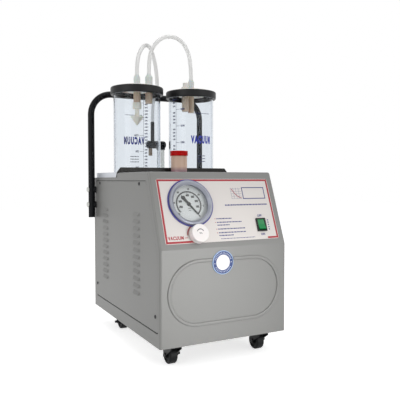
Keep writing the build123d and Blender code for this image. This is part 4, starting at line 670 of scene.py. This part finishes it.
# Natural polypropylene: unpigmented, so it is cream and a little translucent.
natural_polypropylene = surface("natural polypropylene", "#efecdf", "#e4e0d0", 12, 0.8, 0.01, {
    "Roughness": 0.33, "Subsurface Weight": 0.15, "Subsurface Scale": 0.003,
})
for name, side, reach, stem_r in (("left", -1, 25.0, 9.0), ("right", 1, 36.0, 8.0)):
    disc = lathe([(stem_r, DISC_FOOT), (reach - 1, DISC_FOOT), (reach, DISC_FOOT + 1),
                  (reach, DISC_TOP), (stem_r, DISC_TOP), (stem_r, DISC_FOOT)], 64)
    bmesh.ops.translate(disc, verts=disc.verts[:], vec=place(side * JAR_X, JAR_DEPTH, 0))
    finished(f"clamp_disc_{name}", disc, natural_polypropylene, "cabinet")

# Hose cuffs: the widened ends of the hoses, stretched over the three nozzles that carry them,
# each with a shoulder where the tube narrows to its own size again.
CUFF_WALL = 1.1
CUFF_FOOT = 609.8
NOZZLE_PLAY = 0.05
HOSE_R = 5.25
# Stretched silicone: whiter than the slack tube, because the stretch opens fine pores in it.
milky_silicone = surface("stretched silicone", "#f6f6f4", "#efefed", 20, 2, 0.01, {
    "Roughness": 0.35, "IOR": 1.41, "Transmission Weight": 0.2, "Subsurface Weight": 0.3,
    "Subsurface Scale": 0.004,
})
for name, x, nozzle_r, top in (
    ("cuff_left_middle", -JAR_X, 7.5, 629.5), ("cuff_left_link", -46.4, 9.0, 633.5),
    ("cuff_right_link", JAR_X, 7.5, 629.5),
):
    inside = nozzle_r + NOZZLE_PLAY
    outline = [(inside, CUFF_FOOT), (inside + CUFF_WALL, CUFF_FOOT), (inside + CUFF_WALL, top - 2),
               (HOSE_R + 0.35, top + 5), (HOSE_R, top + 5), (HOSE_R, top + 0.1), (inside, top + 0.1),
               (inside, CUFF_FOOT)]
    cuff = lathe(outline, 40)
    bmesh.ops.translate(cuff, verts=cuff.verts[:], vec=place(x, JAR_DEPTH, 0))
    finished(name, cuff, milky_silicone, "cabinet")

# Float: a hollow polypropylene cone on a neck that slides in the guide ring and shuts the
# left lid's middle stem when the jar is full.
dress(natural_polypropylene, "float_guide", "float_valve")

# Pump line: a black moulded block behind the jars takes the hose from the left lid and sends
# the suction down a stiff clear tube into the cabinet; a tan blanking stub hangs under it.
STUB_TOP_Z = 0.4962
STUB_EDGE_X = 0.008
# Glass-filled nylon: dense black with a satin skin, so it reads as a silhouette through the jar.
black_nylon = surface("glass-filled black nylon", "#141518", "#0f1012", 10, 0.5, 0.015, {
    "Roughness": 0.36, "Specular IOR Level": 0.2,
})
tan_and_black = black_nylon.copy()
tan_and_black.name = "black nylon with tan stub"
tree = tan_and_black.node_tree
spot = add(tree, "ShaderNodeTexCoord").outputs["Object"]
parts = add(tree, "ShaderNodeSeparateXYZ", {0: spot})
low = add(tree, "ShaderNodeMath", {0: parts.outputs["Z"], 1: STUB_TOP_Z}, operation="LESS_THAN")
left = add(tree, "ShaderNodeMath", {0: parts.outputs["X"], 1: STUB_EDGE_X}, operation="LESS_THAN")
stub = add(tree, "ShaderNodeMath", {0: low.outputs[0], 1: left.outputs[0]}, operation="MULTIPLY")
tinted(tan_and_black, stub.outputs[0], linear("#b9a48c"))
dress(tan_and_black, "rear_manifold")
# Clear nylon tube: stiff and a little cloudy.
clear_nylon = surface("clear nylon tube", "#eef0ef", "#e6e9e8", 30, 2, 0.01, {
    "Roughness": 0.15, "Transmission Weight": 0.85, "IOR": 1.5,
})
dress(clear_nylon, "riser_tube")

# Moisture trap: a small bottle blown in amber-tinted plastic with a ribbed red screw cap,
# standing on the hood in front of the jars.
TRAP_FOOT_Z = 0.423
ROSE_LOW_Z = TRAP_FOOT_Z + 0.006
ROSE_HIGH_Z = TRAP_FOOT_Z + 0.016
# Blown plastic: amber and half clear, turning a darker rose towards the foot.
tinted_bottle = surface("tinted blown plastic", "#fbdcc6", "#f4d1b9", 18, 2, 0.02, {
    "Roughness": 0.22, "Transmission Weight": 0.35, "IOR": 1.49,
})
tree = tinted_bottle.node_tree
spot = add(tree, "ShaderNodeTexCoord").outputs["Object"]
height = add(tree, "ShaderNodeSeparateXYZ", {0: spot}).outputs["Z"]
rose = add(tree, "ShaderNodeMapRange", {0: height, 1: ROSE_LOW_Z, 2: ROSE_HIGH_Z, 3: 1.0, 4: 0.0})
tinted(tinted_bottle, rose.outputs[0], linear("#bd979f"))
dress(tinted_bottle, "trap_bottle")
# Red polypropylene: strongly pigmented and only faintly glossy, so it stays a flat bright red.
red_polypropylene = surface("red polypropylene", "#c80404", "#bc0202", 12, 0.6, 0.006, {
    "Roughness": 0.34, "Specular IOR Level": 0.12,
})
dress(red_polypropylene, "trap_cap")

# Control label: a screen-printed polyester sheet glued to the leaning face, cream white with a
# red border, plain words at the controls and lines of small print.
FACE_SETBACK = 65.0
FACE_RISE = 166.0
LEAN = atan2(FACE_SETBACK, FACE_RISE)
FOLD = 207.0
LABEL_TOP = 0.4
LABEL_MIDDLE_V = 87.0
LABEL_HALF_W = 143.4
LABEL_HALF_H = 72.9
BORDER = 4.4
BORDER_BREAK = (-54, 114)
BULLET_U = -16.5
BULLET_HALF = 1.0
BULLET_ROWS = (-21.5, -30, -45.5, -54)
TEXT_LINES = ((-21.5, 30), (-30, 57), (-36.5, 22), (-45.5, 60), (-54, 60), (-60.5, 25))
TITLE_LINE = (16, 131, 10)
FOOT_LINE = (-10, 84, -68)
CHART = (38, 25, 66, 52)
CHART_PITCH = (7, 6)
CURVE_STEPS = 20
FIELD = (68, 24, 130, 53)
FIELD_LINE = 2
HAIRLINE = 0.4
SWITCH_U = 102.7
OFF_V = -18.0
ON_V = -62.5
SWITCH_WORD = 7.0
TICK_U = (121.5, 124.5)
TICK_ROWS = (-29, -34.5, -40, -45.5, -51)


def control_face(u, v, w):
    """Matrix of the leaning face: across, up the slope and outwards, from millimetres."""
    return Matrix((
        (0.001, 0, 0, u / 1000),
        (0, sin(LEAN) / 1000, -cos(LEAN) / 1000, FRONT_Y + (v * sin(LEAN) - w * cos(LEAN)) / 1000),
        (0, cos(LEAN) / 1000, sin(LEAN) / 1000,
         UNDERSIDE + (FOLD + v * cos(LEAN) + w * sin(LEAN)) / 1000),
        (0, 0, 0, 1),
    ))


def laid(ink, matrix):
    """Places flat ink, drawn in millimetres, on a face."""
    bmesh.ops.remove_doubles(ink, verts=ink.verts[:], dist=1e-4)
    bmesh.ops.transform(ink, matrix=matrix, verts=ink.verts[:])
    bmesh.ops.recalc_face_normals(ink, faces=ink.faces[:])
    return ink


# Polyester film: cream white with a satin face, so it takes an even grey from the room.
label_film = surface("printed polyester film", "#dcd6d2", "#d7d2ce", 120, 1.2, 0.006, {
    "Roughness": 0.36, "Coat Weight": 0.15, "Coat Roughness": 0.3,
})
dress(label_film, "control_label")
# Red ink: a dull brick red, the border's and the captions' colour.
red_ink = surface("red screen ink", "#ac3038", "#9e2831", 14, 0.5, 0.003, {"Roughness": 0.48})
# Navy ink: the small print's colour, dark enough to stay readable at a glance.
navy_ink = surface("navy screen ink", "#34387e", "#2b2f70", 14, 0.5, 0.003, {"Roughness": 0.5})

on_label = control_face(0, LABEL_MIDDLE_V, LABEL_TOP + INK_LIFT + INK_THICK / 2)
red = bmesh.new()
bar(red, -LABEL_HALF_W, LABEL_HALF_H - BORDER, LABEL_HALF_W, LABEL_HALF_H)
for side in (-1, 1):
    edge = sorted((side * LABEL_HALF_W, side * (LABEL_HALF_W - BORDER)))
    bar(red, edge[0], -LABEL_HALF_H, edge[1], LABEL_HALF_H - BORDER)
foot_from, foot_to = BORDER_BREAK
bar(red, -LABEL_HALF_W + BORDER, -LABEL_HALF_H, foot_from, -LABEL_HALF_H + BORDER)
bar(red, foot_to, -LABEL_HALF_H, LABEL_HALF_W - BORDER, -LABEL_HALF_H + BORDER)
letters(red, "VACUUM", 10.5, -137, -61.5, "LEFT", 0.45, 0.78, 1.12)
bar(red, -98, -62, -90, -60.8)
for v in BULLET_ROWS:
    bar(red, BULLET_U - BULLET_HALF, v - 0.8, BULLET_U + BULLET_HALF, v + 0.8)
left, low, right, top = CHART
curve = [(left + 2 + 1.25 * step, low + 2 + 23 * (1 - step / CURVE_STEPS) ** 2)
         for step in range(CURVE_STEPS + 1)]
for (x0, y0), (x1, y1) in zip(curve, curve[1:]):
    bar(red, x0, y1 - 0.5, x1, y0 + 0.5)
finished("label_border", laid(red, on_label), red_ink, "cabinet")

navy = bmesh.new()
for (start, end, v), tall in ((TITLE_LINE, 3.0), (FOOT_LINE, 1.4)):
    small_print(navy, start, end, v, tall)
for v, end in TEXT_LINES:
    small_print(navy, -13, end, v, 2.3)
letters(navy, "OFF", SWITCH_WORD, SWITCH_U, OFF_V, bold=0.25)
letters(navy, "ON", SWITCH_WORD, SWITCH_U, ON_V, bold=0.25)
for v in TICK_ROWS:
    bar(navy, TICK_U[0], v - 1.5, TICK_U[1], v + 1.5)
for x in range(left, right, CHART_PITCH[0]):
    bar(navy, x, low, x + HAIRLINE, top)
for y in range(low, top + 1, CHART_PITCH[1]):
    bar(navy, left, y, right, y + HAIRLINE)
left, low, right, top = FIELD
bar(navy, left, top - FIELD_LINE, right, top)
bar(navy, left, low, right, low + FIELD_LINE)
bar(navy, left, low + FIELD_LINE, left + FIELD_LINE, top - FIELD_LINE)
bar(navy, right - FIELD_LINE, low + FIELD_LINE, right, top - FIELD_LINE)
finished("label_small_print", laid(navy, on_label), navy_ink, "cabinet")

# Vacuum gauge: a blue-lacquered steel cup behind a grey bezel, float glass, a white dial with
# two scales, and a black pointer that rests at zero on the lower right.
GAUGE_U = -70.5
GAUGE_V = 104.0
DIAL_W = -8.0
ZERO_TURN = -52.0
DIAL_SWEEP = 270.0
FULL_MM_HG = 760
FULL_IN_HG = 29.92
ARC_R = 29.5
ARC_WIDE = 2.8
SMALL_STEP = 20
LARGE_STEP = 100
OUTER_STEP = 5

# Blue lacquer: deep and glossy, seen as a thin ring round the bezel.
blue_lacquer = surface("blue lacquer", "#302b88", "#29257c", 20, 1.0, 0.01, {
    "Roughness": 0.35, "Coat Weight": 0.3, "Coat Roughness": 0.2,
})
dress(blue_lacquer, "gauge_case")
# Grey hammer finish: half metallic, so the bezel's slopes part into light and dark.
grey_bezel = surface("grey hammered bezel", "#9699a4", "#8c8f9a", 9, 1.1, 0.015, {
    "Metallic": 0.35, "Roughness": 0.36,
})
dress(grey_bezel, "gauge_bezel")
# Dial enamel: matt, with a cold cast that the glass before it gives.
dial_enamel = surface("white dial enamel", "#d9dddd", "#cfd3d3", 30, 2.5, 0.001, {"Roughness": 0.55})
dress(dial_enamel, "gauge_dial")
# Float glass: nearly invisible face on, with only a faint shine.
float_glass = surface("float glass", "#f4f8f7", "#f1f6f5", 60, 20, 0.0005, {
    "Roughness": 0.02, "Alpha": 0.03, "Specular IOR Level": 0.25,
})
dress(float_glass, "gauge_glass")
# Black lacquer: satin, so the pointer and the scale stay black against the enamel.
black_lacquer = surface("black lacquer", "#161618", "#101012", 8, 0.5, 0.005, {"Roughness": 0.4})

# Pointer: stamped sheet, a long tail with a round counterweight, a hub, and a tapered blade.
POINTER_W = -6.95
POINTER_THICK = 0.8
TAIL_REACH = 19.0
TAIL_R = 4.8
HUB_R = 4.2
TIP_REACH = 33.0
BLADE_HALF = 2.3
TIP_HALF = 1.3
TAPER_LONG = 3.0


def flat_shape(ink, outline, low, high):
    """Adds a flat plate to the ink from its outline, anticlockwise, between two heights."""
    rings = [[ink.verts.new((x, y, z)) for x, y in outline] for z in (low, high)]
    for i, vert in enumerate(rings[0]):
        after = (i + 1) % len(outline)
        ink.faces.new((vert, rings[0][after], rings[1][after], rings[1][i]))
    ink.faces.new(rings[0][::-1])
    ink.faces.new(rings[1])


pointer = bmesh.new()
weight = [(-TAIL_REACH + TAIL_R * cos(turn / 8 * pi), TAIL_R * sin(turn / 8 * pi))
          for turn in range(2, 15)]
blade = [(-2.0, -BLADE_HALF), (TIP_REACH - TAPER_LONG, -TIP_HALF), (TIP_REACH, 0.0),
         (TIP_REACH - TAPER_LONG, TIP_HALF), (-2.0, BLADE_HALF)]
flat_shape(pointer, weight + blade, 0.0, POINTER_THICK)
hub = [(HUB_R * cos(turn / 12 * pi), HUB_R * sin(turn / 12 * pi)) for turn in range(24)]
flat_shape(pointer, hub, -1.0, 2 * POINTER_THICK)
at_zero = control_face(GAUGE_U, GAUGE_V, POINTER_W) @ Matrix.Rotation(radians(ZERO_TURN), 4, "Z")
piece = finished("stamped_pointer", laid(pointer, at_zero), black_lacquer, "pointer")
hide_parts("gauge_pointer")

# Mark tree: bars of one size set at equal steps round an arc, each along its radius.
mark_tree, given = new_tree("marks", (
    ("Count", "NodeSocketInt"), ("Radius", "NodeSocketFloat"), ("Start", "NodeSocketFloat"),
    ("Step", "NodeSocketFloat"), ("Mark", "NodeSocketVector"), ("Finish", "NodeSocketMaterial"),
))
points = add(mark_tree, "GeometryNodePoints", {"Count": given.outputs["Count"]})
number = add(mark_tree, "GeometryNodeInputIndex")
turned = add(mark_tree, "ShaderNodeMath", {
    0: number.outputs[0], 1: given.outputs["Step"], 2: given.outputs["Start"],
}, operation="MULTIPLY_ADD")
along = add(mark_tree, "ShaderNodeMath", {0: turned.outputs[0]}, operation="COSINE")
across = add(mark_tree, "ShaderNodeMath", {0: turned.outputs[0]}, operation="SINE")
way = add(mark_tree, "ShaderNodeCombineXYZ", {"X": along.outputs[0], "Y": across.outputs[0]})
seat = add(mark_tree, "ShaderNodeVectorMath", {0: way.outputs[0], "Scale": given.outputs["Radius"]},
           operation="SCALE")
points = add(mark_tree, "GeometryNodeSetPosition", {
    "Geometry": points.outputs[0], "Position": seat.outputs[0],
})
turn = add(mark_tree, "ShaderNodeCombineXYZ", {"Z": turned.outputs[0]})
mark = add(mark_tree, "GeometryNodeMeshCube", {"Size": given.outputs["Mark"]})
marks = add(mark_tree, "GeometryNodeInstanceOnPoints", {
    "Points": points.outputs[0], "Instance": mark.outputs["Mesh"], "Rotation": turn.outputs[0],
})
end_tree(mark_tree, marks.outputs[0], given.outputs["Finish"])


def marks_on_arc(ink, count, radius, start, step, long, wide, finish):
    """Adds equal marks round an arc to flat ink, in millimetres and degrees."""
    join(ink, grown(bmesh.new(), mark_tree, {
        "Count": count, "Radius": radius, "Start": radians(start), "Step": radians(step),
        "Mark": (long, wide, INK_THICK), "Finish": finish,
    }))


def arc(ink, radius, wide, start, sweep):
    """Adds a flat band along an arc to the ink, in millimetres and degrees."""
    steps = max(8, int(abs(sweep) / 4))
    rings = []
    for step in range(steps + 1):
        turn = radians(start + sweep * step / steps)
        rings.append([
            ink.verts.new((reach * cos(turn), reach * sin(turn), lift))
            for reach, lift in ((radius - wide / 2, -INK_THICK / 2), (radius + wide / 2, -INK_THICK / 2),
                                (radius + wide / 2, INK_THICK / 2), (radius - wide / 2, INK_THICK / 2))
        ])
    for first, second in zip(rings, rings[1:]):
        for i in range(4):
            ink.faces.new((first[i], first[(i + 1) % 4], second[(i + 1) % 4], second[i]))
    ink.faces.new(rings[0][::-1])
    ink.faces.new(rings[-1])


def around(radius, turn):
    """Point on a circle, in the units of its radius, for a turn in degrees."""
    return radius * cos(radians(turn)), radius * sin(radians(turn))


scale = bmesh.new()
arc(scale, ARC_R, ARC_WIDE, ZERO_TURN, DIAL_SWEEP)
per_mm_hg = DIAL_SWEEP / FULL_MM_HG
marks_on_arc(scale, 39, ARC_R - 2.2, ZERO_TURN, SMALL_STEP * per_mm_hg, 2.6, 0.45, black_lacquer)
marks_on_arc(scale, 8, ARC_R - 3.0, ZERO_TURN, LARGE_STEP * per_mm_hg, 4.2, 1.1, black_lacquer)
per_in_hg = DIAL_SWEEP / FULL_IN_HG
marks_on_arc(scale, 30, ARC_R + 2.0, ZERO_TURN, per_in_hg, 2.2, 0.3, black_lacquer)
for pressure in range(0, FULL_MM_HG, LARGE_STEP):
    x, y = around(ARC_R - 8.6, ZERO_TURN + pressure * per_mm_hg)
    letters(scale, str(pressure), 6.4, x, y, bold=0.5, squeeze=0.8)
for inches in range(0, 31, OUTER_STEP):
    x, y = around(ARC_R + 6.2, ZERO_TURN + inches * per_in_hg)
    letters(scale, str(inches), 5.4, x, y, bold=0.3)
letters(scale, "mmHg", 3.2, 0, -10.0, bold=0.06)
letters(scale, "inHg", 3.0, 0, -14.5, bold=0.05)
on_dial = control_face(GAUGE_U, GAUGE_V, DIAL_W + INK_LIFT + INK_THICK / 2)
finished("dial_scale", laid(scale, on_dial), black_lacquer, "cabinet")

# Vacuum regulator: a fluted knob moulded in ivory urea, its face printed with a short arc,
# over a brass bleed valve; red marks on the label show its travel.
KNOB_U = -67.0
KNOB_V = 31.0
KNOB_FACE = 18.0
FACE_ARC_R = 8.2
TRAVEL_ARC_R = 22.8
# Urea: hard, nearly white and smooth, the brightest piece on the panel.
ivory_urea = surface("ivory urea moulding", "#f0ebe9", "#ebe6e4", 20, 0.7, 0.008, {
    "Roughness": 0.3, "Subsurface Weight": 0.05, "Subsurface Scale": 0.002,
})
dress(ivory_urea, "regulator_knob")
# Grey ink: thin pad print over ivory, so it reads as a warm mid grey.
grey_ink = surface("grey pad-print ink", "#6f6c70", "#646166", 9, 0.5, 0.003, {"Roughness": 0.5})
face = bmesh.new()
arc(face, FACE_ARC_R, 1.8, 25, 130)
for row, half in ((0.0, 3.5), (-2.2, 2.6)):
    small_print(face, -half, half + 3.4, row, 1.0)
on_knob = control_face(KNOB_U, KNOB_V, KNOB_FACE + INK_LIFT + INK_THICK / 2)
finished("knob_print", laid(face, on_knob), grey_ink, "knob")
travel = bmesh.new()
arc(travel, TRAVEL_ARC_R, 2.6, 108, 72)
marks_on_arc(travel, 1, TRAVEL_ARC_R + 1, -8, 0, 5.0, 2.0, red_ink)
on_panel = control_face(KNOB_U, KNOB_V, LABEL_TOP + INK_LIFT + INK_THICK / 2)
finished("knob_travel_marks", laid(travel, on_panel), red_ink, "cabinet")

# Mains switch: a green rocker moulded with its lens, pinned in a black snap-in housing that is
# pushed into the panel from the front.
# Black ABS: moulded glossy, so its flange catches a thin line of light.
black_abs = surface("black ABS", "#0e1a15", "#0a130f", 12, 0.6, 0.008, {
    "Roughness": 0.22, "Specular IOR Level": 0.25,
})
dress(black_abs, "switch_housing")
# Green polycarbonate: tinted in the mass and polished, a deep green with a clear highlight.
green_polycarbonate = surface("green polycarbonate", "#1a8f4f", "#12793f", 16, 1.5, 0.006, {
    "Roughness": 0.16, "Specular IOR Level": 0.25, "Coat Weight": 0.15, "Coat Roughness": 0.1,
})
dress(green_polycarbonate, "switch_rocker")

# Front badge: a domed printed disc in the gap of the pressed bead, white in the middle with a
# navy ring of plain strokes and a pale blue edge.
badge_low, badge_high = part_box("front_badge")
badge_middle = (badge_low + badge_high) / 2
RING_R = 0.0170
EDGE_R = 0.0246
BADGE_FACE = 2.08
STROKE_R = 20.8
STROKE_STEP = 10
# Domed print: white under a clear resin drop, which gives it a hard gloss.
badge_print = surface("domed badge print", "#f4f5f6", "#eff0f2", 20, 1.0, 0.004, {
    "Roughness": 0.25, "Coat Weight": 0.5, "Coat Roughness": 0.08,
})
tree = badge_print.node_tree
spot = add(tree, "ShaderNodeTexCoord").outputs["Object"]
centred = add(tree, "ShaderNodeMapping", {"Vector": spot, "Location": -badge_middle})
flat = add(tree, "ShaderNodeVectorMath", {0: centred.outputs[0], 1: (1, 0, 1)}, operation="MULTIPLY")
reach = add(tree, "ShaderNodeVectorMath", {0: flat.outputs[0]}, operation="LENGTH")
for radius, colour in ((RING_R, "#1f3a78"), (EDGE_R, "#9db6da")):
    outside = add(tree, "ShaderNodeMath", {0: reach.outputs["Value"], 1: radius}, operation="GREATER_THAN")
    tinted(badge_print, outside.outputs[0], linear(colour))
dress(badge_print, "front_badge")

# Pale ink: a grey-blue on the navy ring, soft enough not to read as words.
pale_ink = surface("pale screen ink", "#c9d3e6", "#bcc8de", 9, 0.5, 0.003, {"Roughness": 0.45})
strokes = bmesh.new()
for count, start in ((15, 20), (13, 210)):
    marks_on_arc(strokes, count, STROKE_R, start, STROKE_STEP, 3.2, 1.2, pale_ink)
for turn in (0, 185):
    marks_on_arc(strokes, 1, STROKE_R, turn, 0, 2.0, 2.0, pale_ink)
upright = Matrix((
    (0.001, 0, 0, badge_middle.x), (0, 0, -0.001, badge_high.y - (BADGE_FACE + INK_THICK) / 1000),
    (0, 0.001, 0, badge_middle.z), (0, 0, 0, 1),
))
finished("badge_strokes", laid(strokes, upright), pale_ink, "cabinet")

# Casters: pressed steel forks, enamelled black, under swivel plates on the base pan, each with
# a moulded wheel that has a rubber tyre.
# Caster enamel: stoved black with a low sheen, so the forks keep their edges in the shadow.
caster_enamel = surface("black caster enamel", "#121315", "#0d0e0f", 14, 1.0, 0.015, {
    "Roughness": 0.34, "Specular IOR Level": 0.18,
})
# Tyre rubber: dull black, a little lighter where it is scuffed.
tyre_rubber = surface("black tyre rubber", "#151617", "#0f1011", 10, 0.7, 0.03, {
    "Roughness": 0.5, "Specular IOR Level": 0.15,
})
dress(caster_enamel, "caster_plates")
for corner in ("front_left", "front_right", "rear_left", "rear_right"):
    dress(caster_enamel, f"fork_{corner}")
    dress(tyre_rubber, f"wheel_{corner}")

# Pump set inside the cabinet: a finned motor in grey-green enamel drives the cast iron vane
# pump through a jaw coupling, both on one steel plate over rubber mounts.
# Enamelled, cast and turned metals, each with the sheen that its last operation leaves; carbon
# for the vanes is matt and nearly black.
INSIDE_FINISHES = (
    ("grey-green motor enamel", "#5d6b66", "#52605b", 40, 1.5, 0.03, 0.0, 0.45, ["motor_housing"]),
    ("die-cast aluminium", "#b4b6b8", "#a3a5a8", 12, 0.9, 0.04, 0.9, 0.48, ["motor_end_bells"]),
    ("painted cast iron", "#54585c", "#484c50", 16, 1.3, 0.08, 0.4, 0.6, ["pump_body", "pump_covers"]),
    ("ground shaft steel", "#a9abae", "#989a9e", 8, 0.4, 0.004, 1.0, 0.28,
     ["motor_rotor", "pump_rotor", "regulator_needle"]),
    ("moulded carbon", "#2a2b2d", "#202123", 5, 0.4, 0.02, 0.0, 0.65, ["pump_vanes"]),
    ("zinc plated steel", "#b9bcc0", "#a6a9ae", 12, 0.8, 0.01, 0.9, 0.35, ["motor_plate"]),
    ("turned brass", "#c2a14e", "#ae8e40", 8, 0.4, 0.006, 1.0, 0.3, ["regulator_body"]),
    ("drawn copper pipe", "#b87750", "#a56843", 25, 0.8, 0.008, 1.0, 0.32,
     ["suction_pipe", "exhaust_pipe"]),
    ("grey capacitor can", "#9c9fa3", "#8f9296", 20, 0.8, 0.01, 0.5, 0.4, ["run_capacitor"]),
)
for name, light, dark, patch, grain, depth, metallic, roughness, nodes in INSIDE_FINISHES:
    sockets = {"Metallic": metallic, "Roughness": roughness}
    dress(surface(name, light, dark, patch, grain, depth, sockets), *nodes)
# Black rubber: moulded, with a dull bloom, so its highlight is broad and grey.
black_rubber = surface("black rubber", "#1b1c1e", "#101113", 25, 0.8, 0.03, {
    "Roughness": 0.55, "Specular IOR Level": 0.35,
})
dress(black_rubber, "rubber_mounts")
dress(black_nylon, "mains_inlet")
